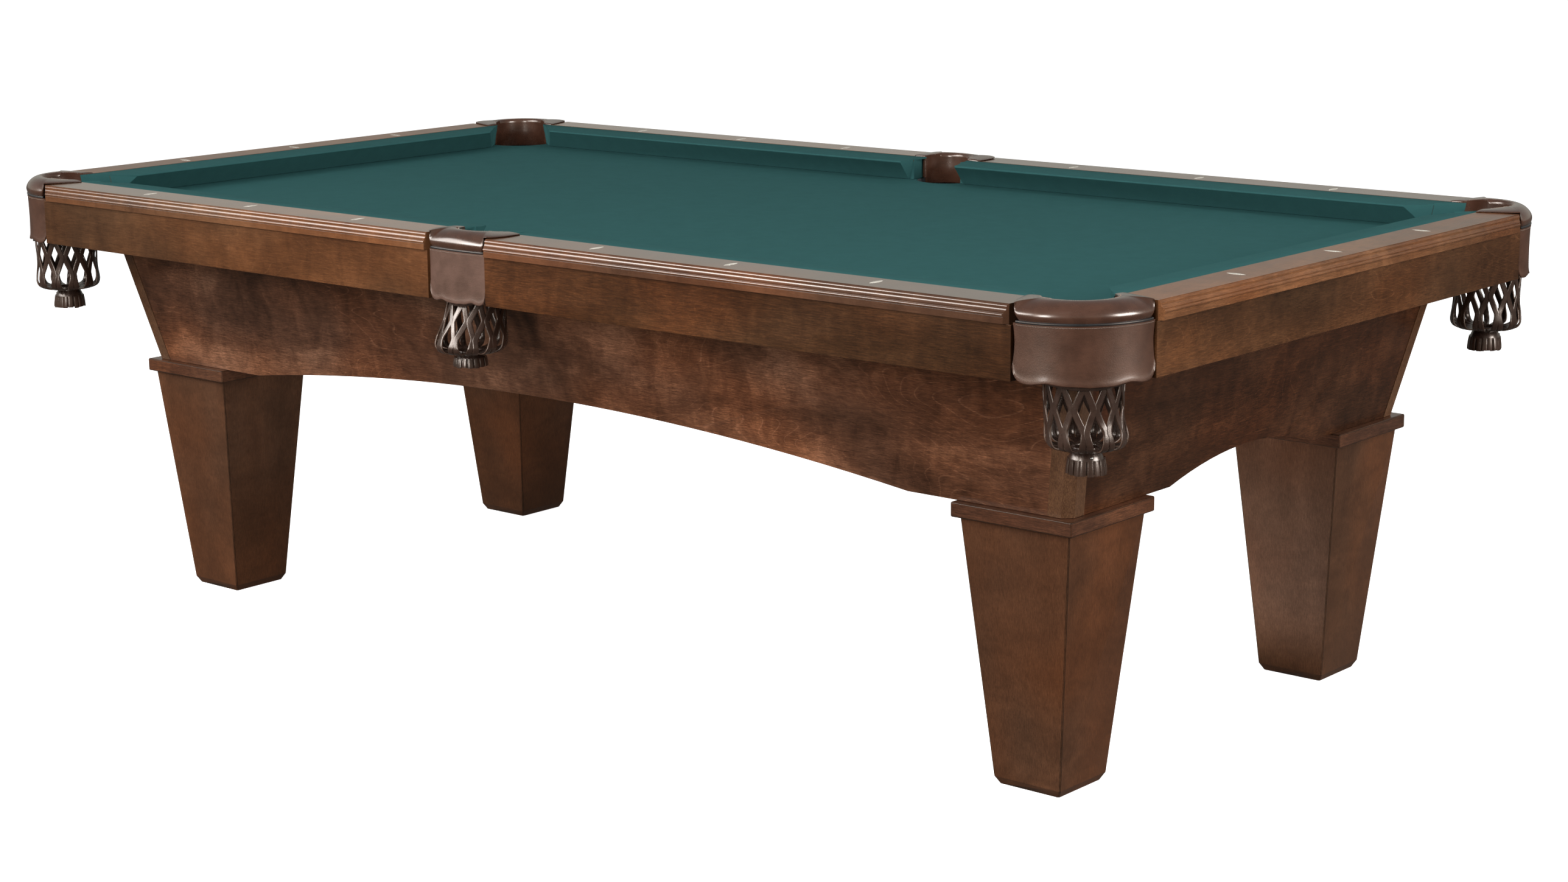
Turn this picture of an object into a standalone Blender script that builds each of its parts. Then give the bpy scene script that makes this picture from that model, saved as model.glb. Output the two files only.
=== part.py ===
"""Drop-pocket pool table: square tapered legs, a cabinet that tapers down to them, three slates, a bed
cloth, six rails with cushions and aprons, and six leather pockets.

Metres, +Z up. The origin is on the floor under the middle of the table. X runs along the table, towards
its head end, and Y across it, towards its right side.
"""

from math import acos, asin, cos, degrees, pi, radians, sin, sqrt, tan

import bmesh
import bpy
from mathutils import Vector

# Playing field and heights. The other sizes are measured from these.
HALF_LENGTH = 1.1176
HALF_WIDTH = 0.5588
RAIL_TOP = 0.800
SLATE_TOP = 0.757
SLATE_THICKNESS = 0.0254
GAP = 0.0003

ENDS = {"head": 1, "foot": -1}
SIDES = {"left": -1, "right": 1}

# Legs: half widths at their levels.
LEG_X = 0.9669
LEG_Y = 0.3877
LEG_LEVELS = ((0.0, 0.0550), (0.0125, 0.0620), (0.4239, 0.1000))
LEG_EDGE = 0.0015
CAP_HALF = 0.1105
CAP_TOP = 0.4477

# Cabinet: its outer faces lean out by CABINET_LEAN metres for each metre of height.
CABINET_BOTTOM = CAP_TOP + GAP
CABINET_TOP = SLATE_TOP - SLATE_THICKNESS - GAP
CABINET_X = 1.0636
CABINET_Y = 0.4850
CABINET_LEAN = 0.2124
PANEL_THICKNESS = 0.025
POST_WIDTH = 0.038
POST_CHAMFER = 0.014
POST_PROUD = 0.0008
SIDE_ARCH_HALF = 0.765
SIDE_ARCH_RISE = 0.053
END_ARCH_HALF = 0.215
END_ARCH_RISE = 0.034

# Timbers inside the cabinet: the cross beams stand under the slate seams, on the long beams.
SLATE_SEAM = 0.398
CROSS_BEAM_WIDTH = 0.089
CROSS_BEAM_HEIGHT = 0.045
LONG_BEAM_WIDTH = 0.045
LONG_BEAM_HEIGHT = 0.089
LONG_BEAM_Y = 0.20

# Slates and bed cloth.
SLATE_X = 1.194
SLATE_Y = 0.635
CLOTH_THICKNESS = 0.001
CORNER_CUT_RADIUS = 0.072
SIDE_CUT_RADIUS = 0.062
SIDE_CUT_START = 0.0072

# Rails. A depth is measured outwards from the cushion's nose.
CUSHION_BACK = 0.032
CLOTH_EDGE = 0.064
FLAT_EDGE = 0.1318
MOULDING_FACE = 0.1394
RAIL_STEP = 0.105
RAIL_BOTTOM = SLATE_TOP + CLOTH_THICKNESS + 3 * GAP
MOULDING_BOTTOM = 0.7713
NOSE_HEIGHT = SLATE_TOP + CLOTH_THICKNESS + 0.0363
CORNER_MOUTH = 0.089
CORNER_FACING_RUN = 1 / tan(radians(38))
CORNER_RAIL_END = 0.0152
SIDE_MOUTH = 0.0651
SIDE_FACING_RUN = 1 / tan(radians(76))
SIDE_RAIL_END = 0.070
FACING_UNDERCUT = 0.2

# Aprons hang behind the moulding.
APRON_FACE = 0.134
APRON_THICKNESS = 0.019
APRON_BOTTOM = 0.691
APRON_CORNER_END = 0.011
APRON_SIDE_END = 0.0665

# Pockets. Corner pockets are laid out along the diagonal that runs out from the corner of the playing field.
COLLAR_BOTTOM = 0.7763
COLLAR_TOP = 0.810
HORN_TOP = 0.8075
LINER_THICKNESS = 0.005
CORNER_HOLE = 0.050
CORNER_HOLE_RADIUS = 0.053
CORNER_ARC = 0.003
CORNER_COLLAR_RADIUS = 0.131
CORNER_COLLAR_TURN = 50
SIDE_HOLE = 0.055
SIDE_HOLE_RADIUS = 0.050
SIDE_COLLAR_OUT = 0.137
SIDE_COLLAR_HALF = 0.0645
SIDE_FRONT_BOW = 0.0045

# A collar's horns lie on the rails. Each entry is the horn's inner edge as a turn round the hole in degrees,
# and its outer edge as (along, depth) beyond the field's corner or from the side pocket's middle.
CORNER_HORN = (
    (100, (-0.036, 0.066)),
    (88, (-0.036, 0.086)),
    (77, (-0.033, 0.106)),
    (67, (-0.026, 0.123)),
)
CORNER_HOLE_TURN = 58
SIDE_HORN = (
    (78, (0.080, 0.066)),
    (67, (0.081, 0.086)),
    (57, (0.079, 0.106)),
    (50, (0.073, 0.123)),
)
SIDE_HOLE_TURN = 46

# Shields hang under the collars, and baskets behind the shields.
CORNER_SHIELD_RADIUS = 0.129
CORNER_SHIELD_TURN = 48
SIDE_SHIELD_OUT = 0.135
SIDE_SHIELD_HALF = 0.0615
SHIELD_THICKNESS = 0.0035
SHIELD_BOTTOM = 0.683
SHIELD_WAVE = 0.0015
SHIELD_END_RISE = 0.008
CORNER_BASKET = 0.048
SIDE_BASKET = 0.076
SIDE_BASKET_LEAN = 0.2
SIDE_BASKET_LEAN_DROP = 0.08
SIDE_BASKET_LENGTH = 0.9
BASKET_SIDES = 22
BASKET_WALL = 0.0035

# The baskets' outsides from rim to fringe as (height, radius), and the steps of their hollow floors. The side
# baskets are narrower behind their shields.
CORNER_BASKET_OUTSIDE = (
    (0.7585, 0.0545),
    (0.725, 0.0566),
    (0.690, 0.0574),
    (0.655, 0.0566),
    (0.625, 0.0580),
    (0.608, 0.0595),
    (0.594, 0.0560),
    (0.587, 0.0450),
    (0.584, 0.0270),
    (0.568, 0.0295),
    (0.552, 0.0310),
)
SIDE_BASKET_OUTSIDE = (
    (0.7585, 0.0550),
    (0.725, 0.0515),
    (0.690, 0.0485),
    (0.655, 0.0525),
    (0.625, 0.0585),
    (0.608, 0.0605),
    (0.594, 0.0560),
    (0.587, 0.0450),
    (0.584, 0.0270),
    (0.568, 0.0295),
    (0.552, 0.0310),
)
BASKET_HOLLOW_RINGS = 6
BASKET_FLOOR = ((0.5985, 0.0500), (0.5920, 0.0350))


def clear_scene():
    for old in list(bpy.data.objects):
        bpy.data.objects.remove(old, do_unlink=True)


def material(name, colour, roughness, metallic=0.0):
    """A Principled material with the colour given as linear red, green and blue."""
    made = bpy.data.materials.new(name)
    made.use_nodes = True
    shader = made.node_tree.nodes["Principled BSDF"]
    shader.inputs["Base Color"].default_value = (*colour, 1.0)
    shader.inputs["Roughness"].default_value = roughness
    shader.inputs["Metallic"].default_value = metallic
    made.diffuse_color = (*colour, 1.0)
    return made


def add_object(name, mesh, root, location=(0.0, 0.0, 0.0)):
    made = bpy.data.objects.new(name, mesh)
    bpy.context.collection.objects.link(made)
    made.parent = root
    made.location = location
    return made


def finish_mesh(name, bm, finish, smooth_angle=None):
    """The bmesh as a mesh with its faces turned outwards, smooth below the given angle in degrees."""
    bmesh.ops.recalc_face_normals(bm, faces=bm.faces)
    if bm.calc_volume(signed=True) < 0:
        bmesh.ops.reverse_faces(bm, faces=bm.faces)
    mesh = bpy.data.meshes.new(name)
    bm.to_mesh(mesh)
    bm.free()
    mesh.materials.append(finish)
    if smooth_angle is not None:
        mesh.shade_smooth()
        mesh.set_sharp_from_angle(angle=radians(smooth_angle))
    return mesh


def loft(rings):
    """A closed solid through rings of points, of the same count, capped at both ends."""
    bm = bmesh.new()
    rows = [[bm.verts.new(point) for point in ring] for ring in rings]
    for lower, upper in zip(rows, rows[1:]):
        for i in range(len(lower)):
            j = (i + 1) % len(lower)
            bm.faces.new((lower[i], lower[j], upper[j], upper[i]))
    bm.faces.new(rows[0][::-1])
    bm.faces.new(rows[-1])
    return bm


def prism(outline, bottom, top):
    return loft([[(x, y, level) for x, y in outline] for level in (bottom, top)])


def arc(centre, radius, start, end, steps):
    """Points on an arc in a plane, from a start to an end angle in degrees."""
    turns = [radians(start + (end - start) * i / steps) for i in range(steps + 1)]
    return [(centre[0] + radius * cos(turn), centre[1] + radius * sin(turn)) for turn in turns]


def placed(bm, place):
    """Moves each vertex of a bmesh to place(x, y, z)."""
    for vert in bm.verts:
        vert.co = place(*vert.co)
    return bm


def keep_below(bm, normal, limit):
    """Cuts away what lies beyond the plane where a point's product with the normal equals the limit."""
    normal = Vector(normal)
    everything = bm.verts[:] + bm.edges[:] + bm.faces[:]
    on_plane = normal * (limit / normal.length_squared)
    bmesh.ops.bisect_plane(bm, geom=everything, plane_co=on_plane, plane_no=normal, clear_outer=True)
    open_edges = [edge for edge in bm.edges if edge.is_boundary]
    bmesh.ops.holes_fill(bm, edges=open_edges, sides=0)


# ---------------------------------------------------------------- legs and cabinet


def leg_mesh(finish):
    """A square leg that widens upwards, with a foot that tapers in to the floor."""
    rings = [[(-h, -h, z), (h, -h, z), (h, h, z), (-h, h, z)] for z, h in LEG_LEVELS]
    bm = loft(rings)
    corners = [edge for edge in bm.edges if abs(edge.verts[0].co.z - edge.verts[1].co.z) > LEG_EDGE]
    bmesh.ops.bevel(bm, geom=corners, offset=LEG_EDGE, segments=1, affect="EDGES")
    return finish_mesh("leg", bm, finish)


def cap_mesh(finish):
    """The flat square plate between a leg and the cabinet."""
    square = [(-CAP_HALF, -CAP_HALF), (CAP_HALF, -CAP_HALF), (CAP_HALF, CAP_HALF), (-CAP_HALF, CAP_HALF)]
    bm = prism(square, LEG_LEVELS[-1][0] + GAP, CAP_TOP)
    bmesh.ops.bevel(bm, geom=bm.edges[:], offset=LEG_EDGE, segments=1, affect="EDGES")
    return finish_mesh("leg_cap", bm, finish)


def lean(z):
    """How far the cabinet's faces stand out at a height, beyond where they stand at its bottom."""
    return CABINET_LEAN * (z - CAP_TOP)


def corner_post(end, side, finish):
    """A leaning square post with its outer edge cut off."""
    rings = []
    for z in (CABINET_BOTTOM, CABINET_TOP):
        x = CABINET_X + POST_PROUD + lean(z)
        y = CABINET_Y + POST_PROUD + lean(z)
        inner_x = x - POST_PROUD - POST_WIDTH
        inner_y = y - POST_PROUD - POST_WIDTH
        outline = [(inner_x, inner_y), (x, inner_y), (x, y - POST_CHAMFER)]
        outline += [(x - POST_CHAMFER, y), (inner_x, y)]
        rings.append([(end * px, side * py, z) for px, py in outline])
    return finish_mesh("corner_post", loft(rings), finish)


def arched_outline(half_at, arch_half, arch_rise, steps):
    """A panel's outline as (along, height): a shallow round arch between two level stretches.
    half_at gives the half length at a height."""
    radius = (arch_half**2 + arch_rise**2) / (2 * arch_rise)
    centre = CABINET_BOTTOM + arch_rise - radius
    outline = [(half_at(CABINET_TOP), CABINET_TOP), (-half_at(CABINET_TOP), CABINET_TOP)]
    outline.append((-half_at(CABINET_BOTTOM), CABINET_BOTTOM))
    for i in range(steps + 1):
        along = arch_half * (2 * i / steps - 1)
        outline.append((along, centre + sqrt(radius**2 - along**2)))
    outline.append((half_at(CABINET_BOTTOM), CABINET_BOTTOM))
    return outline


def side_panel(side, finish):
    def half_at(z):
        return CABINET_X + lean(z) - POST_WIDTH - GAP

    outline = arched_outline(half_at, SIDE_ARCH_HALF, SIDE_ARCH_RISE, 28)
    outer = [(x, side * (CABINET_Y + lean(z)), z) for x, z in outline]
    inner = [(x, y - side * PANEL_THICKNESS, z) for x, y, z in outer]
    return finish_mesh("side_panel", loft([outer, inner]), finish)


def end_panel(end, finish):
    def half_at(z):
        return CABINET_Y + lean(z) - POST_WIDTH - GAP

    outline = arched_outline(half_at, END_ARCH_HALF, END_ARCH_RISE, 16)
    outer = [(end * (CABINET_X + lean(z)), y, z) for y, z in outline]
    inner = [(x - end * PANEL_THICKNESS, y, z) for x, y, z in outer]
    return finish_mesh("end_panel", loft([outer, inner]), finish)


def cross_beam(finish):
    """A timber across the cabinet, laid flat under a slate seam, its ends cut to the leaning panels."""
    top = CABINET_TOP
    bottom = top - CROSS_BEAM_HEIGHT
    half = CROSS_BEAM_WIDTH / 2
    rings = []
    for side in (-1, 1):
        low_end, high_end = [side * (CABINET_Y + lean(z) - PANEL_THICKNESS - GAP) for z in (bottom, top)]
        lower = [(-half, low_end, bottom), (half, low_end, bottom)]
        upper = [(half, high_end, top), (-half, high_end, top)]
        rings.append(lower + upper)
    return finish_mesh("cross_beam", loft(rings), finish)


def long_beam(finish):
    """A timber along the cabinet, on edge under the cross beams."""
    top = CABINET_TOP - CROSS_BEAM_HEIGHT - GAP
    bottom = top - LONG_BEAM_HEIGHT
    half = LONG_BEAM_WIDTH / 2
    rings = []
    for end in (-1, 1):
        low_end, high_end = [end * (CABINET_X + lean(z) - PANEL_THICKNESS - GAP) for z in (bottom, top)]
        lower = [(low_end, -half, bottom), (low_end, half, bottom)]
        upper = [(high_end, half, top), (high_end, -half, top)]
        rings.append(lower + upper)
    return finish_mesh("long_beam", loft(rings), finish)


# ---------------------------------------------------------------- slates and cloth


def corner_cut():
    """The slate's round corner cut in the positive quadrant, from the head end round to the right side."""
    centre = (HALF_LENGTH + CORNER_BASKET, HALF_WIDTH + CORNER_BASKET)
    start = 360 - degrees(acos((SLATE_X - centre[0]) / CORNER_CUT_RADIUS))
    end = 180 - degrees(asin((SLATE_Y - centre[1]) / CORNER_CUT_RADIUS))
    return arc(centre, CORNER_CUT_RADIUS, start, end, 14)


def side_cut():
    """The slate's slot at a side pocket, from +X round to -X, on the right side."""
    centre = (0.0, HALF_WIDTH + SIDE_CUT_START + SIDE_CUT_RADIUS)
    slot = arc(centre, SIDE_CUT_RADIUS, 0, -180, 14)
    return [(SIDE_CUT_RADIUS, SLATE_Y), *slot, (-SIDE_CUT_RADIUS, SLATE_Y)]


def bed_outline(start, stop):
    """The bed's outline between two places along the table, anticlockwise, with its pocket cuts."""

    def corner(end, side):
        if abs(stop if end > 0 else start) < SLATE_X:
            return [(stop if end > 0 else start, side * SLATE_Y)]
        return [(end * x, side * y) for x, y in corner_cut()]

    def slot(side):
        if not start < 0 < stop:
            return []
        return [(x, side * y) for x, y in side_cut()]

    outline = corner(1, 1) + slot(1) + corner(-1, 1)[::-1]
    return outline + corner(-1, -1) + slot(-1)[::-1] + corner(1, -1)[::-1]


def slate(start, stop, finish):
    outline = bed_outline(start, stop)
    return finish_mesh("slate", prism(outline, SLATE_TOP - SLATE_THICKNESS, SLATE_TOP), finish)


def bed_cloth(finish):
    bottom = SLATE_TOP + GAP
    outline = bed_outline(-SLATE_X, SLATE_X)
    return finish_mesh("bed_cloth", prism(outline, bottom, bottom + CLOTH_THICKNESS), finish)


# ---------------------------------------------------------------- rails, cushions and aprons


def rail_section():
    """A wood rail's section as (depth, height): sub-rail under the cloth, flat top, and a moulding of two
    beads with a cove between them and a plain face below."""
    upper_bead = arc((FLAT_EDGE - 0.0014, RAIL_TOP - 0.0048), 0.0042, 78, 0, 4)
    cove = arc((MOULDING_FACE + 0.0016, RAIL_TOP - 0.0064), 0.0064, 180, 240, 4)
    lower_bead = arc((MOULDING_FACE - 0.0030, RAIL_TOP - 0.0165), 0.0030, 75, -60, 4)
    face = MOULDING_FACE - 0.0010
    section = [(CUSHION_BACK, RAIL_BOTTOM), (CUSHION_BACK, RAIL_TOP - 0.0045)]
    section += [(CLOTH_EDGE, RAIL_TOP - 0.0035), (CLOTH_EDGE, RAIL_TOP)]
    section += [(FLAT_EDGE, RAIL_TOP), (FLAT_EDGE, RAIL_TOP - 0.0007)]
    section += upper_bead + cove + lower_bead
    section += [(face, RAIL_TOP - 0.0196), (face, MOULDING_BOTTOM)]
    section += [(RAIL_STEP, MOULDING_BOTTOM), (RAIL_STEP, RAIL_BOTTOM)]
    return section


def cushion_section():
    """A cushion's section as (depth, height): a rubber nose, with its cloth drawn back over the sub-rail."""
    nose = arc((0.0022, NOSE_HEIGHT), 0.0022, 250, 100, 4)
    back = CUSHION_BACK - GAP
    edge = CLOTH_EDGE - GAP
    section = [(back, RAIL_BOTTOM + 0.003), (back - 0.004, RAIL_BOTTOM + 0.003)] + nose
    section += [(back, RAIL_TOP - 0.0015), (edge, RAIL_TOP - GAP), (edge, RAIL_TOP - 0.0035 + GAP)]
    return section + [(back, RAIL_TOP - 0.0045 + GAP)]


def cut_to_pockets(section, half, with_side_pocket, setback):
    """A section run along a rail as (along, depth, height), its ends cut to the corner pockets' facings."""
    start = 0.0 if with_side_pocket else -half
    bm = loft([[(along, depth, height) for depth, height in section] for along in (start, half)])
    facing = half - CORNER_MOUTH - setback - FACING_UNDERCUT * RAIL_TOP
    corner_ends = (1,) if with_side_pocket else (1, -1)
    for end in corner_ends:
        keep_below(bm, (end, -CORNER_FACING_RUN, -FACING_UNDERCUT), facing)
    return bm, corner_ends


def rail(half, with_side_pocket, finish, place):
    bm, corner_ends = cut_to_pockets(rail_section(), half, with_side_pocket, GAP)
    for end in corner_ends:
        keep_below(bm, (end, 0, 0), half - CORNER_RAIL_END)
        keep_below(bm, (end, 1, 0), half - CORNER_RAIL_END + FLAT_EDGE)
    if with_side_pocket:
        inner = SIDE_MOUTH - SIDE_FACING_RUN * CUSHION_BACK
        run = (SIDE_RAIL_END - inner) / (MOULDING_FACE - CUSHION_BACK)
        keep_below(bm, (-1, run, 0), -inner + run * CUSHION_BACK)
    return finish_mesh("rail", placed(bm, place), finish, 40)


def cushion(half, with_side_pocket, finish, place):
    bm, _ = cut_to_pockets(cushion_section(), half, with_side_pocket, 0.0)
    if with_side_pocket:
        limit = -SIDE_MOUTH - FACING_UNDERCUT * RAIL_TOP
        keep_below(bm, (-1, -SIDE_FACING_RUN, -FACING_UNDERCUT), limit)
    return finish_mesh("cushion", placed(bm, place), finish, 40)


def apron(half, with_side_pocket, finish, place):
    """The board that hides the slate's edge, from pocket to pocket."""
    start = APRON_SIDE_END if with_side_pocket else APRON_CORNER_END - half
    stop = half - APRON_CORNER_END
    back = APRON_FACE - APRON_THICKNESS
    outline = [(start, back), (stop, back), (stop, APRON_FACE), (start, APRON_FACE)]
    bm = prism(outline, APRON_BOTTOM, MOULDING_BOTTOM - GAP)
    return finish_mesh("apron", placed(bm, place), finish)


# ---------------------------------------------------------------- pockets


def from_diagonal(across, out):
    """(along, depth) beyond the playing field's corner, from distances across and out along its diagonal."""
    return ((out - across) / sqrt(2), (out + across) / sqrt(2))


def collar_section(inner, outer, base, top):
    """A padded roll's ring of points over a line from its inner to its outer edge: a domed top, a flat
    underside at the base height, and a liner that hangs down along the inner edge to the bed."""
    inner = Vector(inner)
    outer = Vector(outer)
    width = (outer - inner).length
    across = (outer - inner) / width
    liner_bottom = RAIL_BOTTOM + GAP
    shoulder = top - min(0.016, (top - RAIL_TOP) + 0.004)
    if base > RAIL_TOP:
        shoulder = base + 0.001
    profile = [(0.0, liner_bottom), (0.0, RAIL_TOP - 0.012)]
    for i in range(7):
        turn = pi * (1 - i / 6)
        side_shoulder = shoulder if i > 3 else RAIL_TOP - 0.006
        profile.append((width / 2 * (1 + cos(turn)), side_shoulder + (top - side_shoulder) * sin(turn)))
    profile += [(width, base), (LINER_THICKNESS, base), (LINER_THICKNESS, liner_bottom)]
    return [(*(inner + across * distance), height) for distance, height in profile]


def corner_hole_point(turn):
    turn = radians(turn)
    return from_diagonal(CORNER_HOLE_RADIUS * sin(turn), CORNER_HOLE + CORNER_HOLE_RADIUS * cos(turn))


def corner_collar_point(turn):
    turn = radians(turn)
    return from_diagonal(CORNER_COLLAR_RADIUS * sin(turn), CORNER_ARC + CORNER_COLLAR_RADIUS * cos(turn))


def side_hole_point(turn):
    turn = radians(turn)
    return (SIDE_HOLE_RADIUS * sin(turn), SIDE_HOLE + SIDE_HOLE_RADIUS * cos(turn))


def side_collar_point(turn):
    """A point on the side collar's slightly rounded front, for a turn round the hole."""
    share = turn / SIDE_HOLE_TURN
    return (SIDE_COLLAR_HALF * share, SIDE_COLLAR_OUT - SIDE_FRONT_BOW * share**2)


def half_collar(horn, hole_point, hole_turn, front_point, front_turn, steps):
    """Stations from a horn's tip to the pocket's middle: inner and outer point as (along, depth), base and
    top. A horn rests on the rail, and between the horns the roll reaches down in front of it."""
    on_rail = RAIL_TOP + GAP
    rise = (COLLAR_TOP - HORN_TOP) / len(horn)
    stations = []
    for i, (turn, outer) in enumerate(horn):
        stations.append((hole_point(turn), outer, on_rail, HORN_TOP + rise * i))
    stations.append((hole_point(hole_turn), front_point(front_turn), on_rail, COLLAR_TOP))
    for i in range(steps + 1):
        share = 1 - i / steps
        inner = hole_point(hole_turn * share)
        outer = front_point(front_turn * share)
        stations.append((inner, outer, COLLAR_BOTTOM, COLLAR_TOP))
    return stations


def collar(stations, mirror, place, finish):
    """A whole collar from its half: mirror swaps an (along, depth) point to the other half."""
    other = [(mirror(inner), mirror(outer), base, top) for inner, outer, base, top in stations[-2::-1]]
    rings = [collar_section(*station) for station in stations + other]
    return finish_mesh("pocket_collar", placed(loft(rings), place), finish, 50)


def swap(point):
    return (point[1], point[0])


def flip(point):
    return (-point[0], point[1])


def shield_bottom(share):
    """The height of a shield's wavy lower edge, at a share of its half width."""
    return SHIELD_BOTTOM + SHIELD_WAVE * (1 - cos(2.2 * pi * share)) + SHIELD_END_RISE * share**4


def shield(point_at, place, finish):
    """A bent leather plate under a collar. point_at gives a point at a share of its half width, set back."""
    rings = []
    steps = 16
    top = COLLAR_BOTTOM - GAP
    for i in range(steps + 1):
        share = 2 * i / steps - 1
        bottom = shield_bottom(share)
        outer = point_at(share, 0.0)
        inner = point_at(share, SHIELD_THICKNESS)
        rings.append([(*inner, bottom), (*outer, bottom), (*outer, top), (*inner, top)])
    return finish_mesh("pocket_shield", placed(loft(rings), place), finish, 50)


def corner_shield_point(share, setback):
    turn = radians(CORNER_SHIELD_TURN * share)
    radius = CORNER_SHIELD_RADIUS - setback
    return from_diagonal(radius * sin(turn), CORNER_ARC + radius * cos(turn))


def side_shield_point(share, setback):
    return (SIDE_SHIELD_HALF * share, SIDE_SHIELD_OUT - setback - SIDE_FRONT_BOW * share**2)


def basket(profile, centre_at, length, place, finish):
    """A closed cup with an open rim and a bunched fringe below. centre_at gives its middle at a height, and
    length scales how far it hangs below the shield's level."""
    full = profile[2][0]

    def level(height):
        return height if height > full else full - (full - height) * length

    def ring(height, radius):
        turns = [2 * pi * i / BASKET_SIDES for i in range(BASKET_SIDES)]
        x, y = centre_at(height)
        return [(x + radius * cos(turn), y + radius * sin(turn), height) for turn in turns]

    outside = [(level(height), radius) for height, radius in profile]
    inside = [(height, radius - BASKET_WALL) for height, radius in outside[:BASKET_HOLLOW_RINGS]]
    floor = [(level(height), radius) for height, radius in BASKET_FLOOR]
    rings = [ring(*entry) for entry in outside[::-1] + inside + floor]
    return finish_mesh("pocket_basket", placed(loft(rings), place), finish, 50)


def corner_basket_centre(_height):
    return (CORNER_BASKET, CORNER_BASKET)


def side_basket_centre(height):
    """Below its shield the side basket leans forward a little."""
    below = min(max(SHIELD_BOTTOM - height, 0.0), SIDE_BASKET_LEAN_DROP)
    return (0.0, SIDE_BASKET + SIDE_BASKET_LEAN * below)


# ---------------------------------------------------------------- assembly


def build():
    clear_scene()
    root = bpy.data.objects.new("pool_table", None)
    bpy.context.collection.objects.link(root)

    walnut = material("walnut", (0.070, 0.032, 0.018), 0.32)
    timber = material("timber", (0.42, 0.30, 0.19), 0.7)
    stone = material("slate", (0.10, 0.11, 0.12), 0.6)
    cloth = material("cloth", (0.028, 0.095, 0.095), 0.95)
    leather = material("leather", (0.050, 0.028, 0.021), 0.35)

    leg = leg_mesh(walnut)
    cap = cap_mesh(walnut)
    for end_name, end in ENDS.items():
        for side_name, side in SIDES.items():
            corner = f"{end_name}_{side_name}"
            spot = (end * LEG_X, side * LEG_Y, 0.0)
            add_object(f"leg_{corner}", leg, root, spot)
            add_object(f"leg_cap_{corner}", cap, root, spot)
            add_object(f"corner_post_{corner}", corner_post(end, side, walnut), root)

    across_beam = cross_beam(timber)
    along_beam = long_beam(timber)
    for side_name, side in SIDES.items():
        add_object(f"side_panel_{side_name}", side_panel(side, walnut), root)
        add_object(f"long_beam_{side_name}", along_beam, root, (0.0, side * LONG_BEAM_Y, 0.0))
    for end_name, end in ENDS.items():
        add_object(f"end_panel_{end_name}", end_panel(end, walnut), root)
        add_object(f"cross_beam_{end_name}", across_beam, root, (end * SLATE_SEAM, 0.0, 0.0))

    add_object("slate_foot", slate(-SLATE_X, -SLATE_SEAM - GAP / 2, stone), root)
    add_object("slate_middle", slate(-SLATE_SEAM + GAP / 2, SLATE_SEAM - GAP / 2, stone), root)
    add_object("slate_head", slate(SLATE_SEAM + GAP / 2, SLATE_X, stone), root)
    add_object("bed_cloth", bed_cloth(cloth), root)

    def add_rail(name, half, with_side_pocket, place):
        add_object(f"rail_{name}", rail(half, with_side_pocket, walnut, place), root)
        add_object(f"cushion_{name}", cushion(half, with_side_pocket, cloth, place), root)
        add_object(f"apron_{name}", apron(half, with_side_pocket, walnut, place), root)

    for end_name, end in ENDS.items():
        for side_name, side in SIDES.items():
            add_rail(
                f"{side_name}_{end_name}",
                HALF_LENGTH,
                True,
                lambda x, y, z, end=end, side=side: (end * x, side * (HALF_WIDTH + y), z),
            )
        add_rail(end_name, HALF_WIDTH, False, lambda x, y, z, end=end: (end * (HALF_LENGTH + y), x, z))

    def add_pocket(name, parts, place):
        stations, mirror, shield_point, profile, centre_at, length = parts
        add_object(f"pocket_collar_{name}", collar(stations, mirror, place, leather), root)
        add_object(f"pocket_shield_{name}", shield(shield_point, place, leather), root)
        add_object(f"pocket_basket_{name}", basket(profile, centre_at, length, place, leather), root)

    corner_stations = half_collar(
        CORNER_HORN, corner_hole_point, CORNER_HOLE_TURN, corner_collar_point, CORNER_COLLAR_TURN, 4
    )
    side_stations = half_collar(
        SIDE_HORN, side_hole_point, SIDE_HOLE_TURN, side_collar_point, SIDE_HOLE_TURN, 3
    )
    corner_parts = (
        corner_stations, swap, corner_shield_point, CORNER_BASKET_OUTSIDE, corner_basket_centre, 1.0
    )
    side_parts = (
        side_stations, flip, side_shield_point, SIDE_BASKET_OUTSIDE, side_basket_centre, SIDE_BASKET_LENGTH
    )
    for side_name, side in SIDES.items():
        for end_name, end in ENDS.items():
            add_pocket(
                f"{end_name}_{side_name}",
                corner_parts,
                lambda x, y, z, end=end, side=side: (end * (HALF_LENGTH + x), side * (HALF_WIDTH + y), z),
            )
        add_pocket(side_name, side_parts, lambda x, y, z, side=side: (x, side * (HALF_WIDTH + y), z))


build()
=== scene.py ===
"""Looks of the drop-pocket pool table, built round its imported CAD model.

Metres, +Z up, in the CAD model's frame: X runs along the table towards its head end, and Y across it
towards its right side. A rail's points are (along, depth, height) with depth measured outwards from the
cushion's nose. A pocket's points are (along, depth) beyond the playing field's corner or its side's middle.
"""

from math import acos, asin, cos, degrees, pi, radians, sin, sqrt, tan
from random import Random

import bmesh
import bpy
from mathutils import Matrix, Vector


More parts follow.
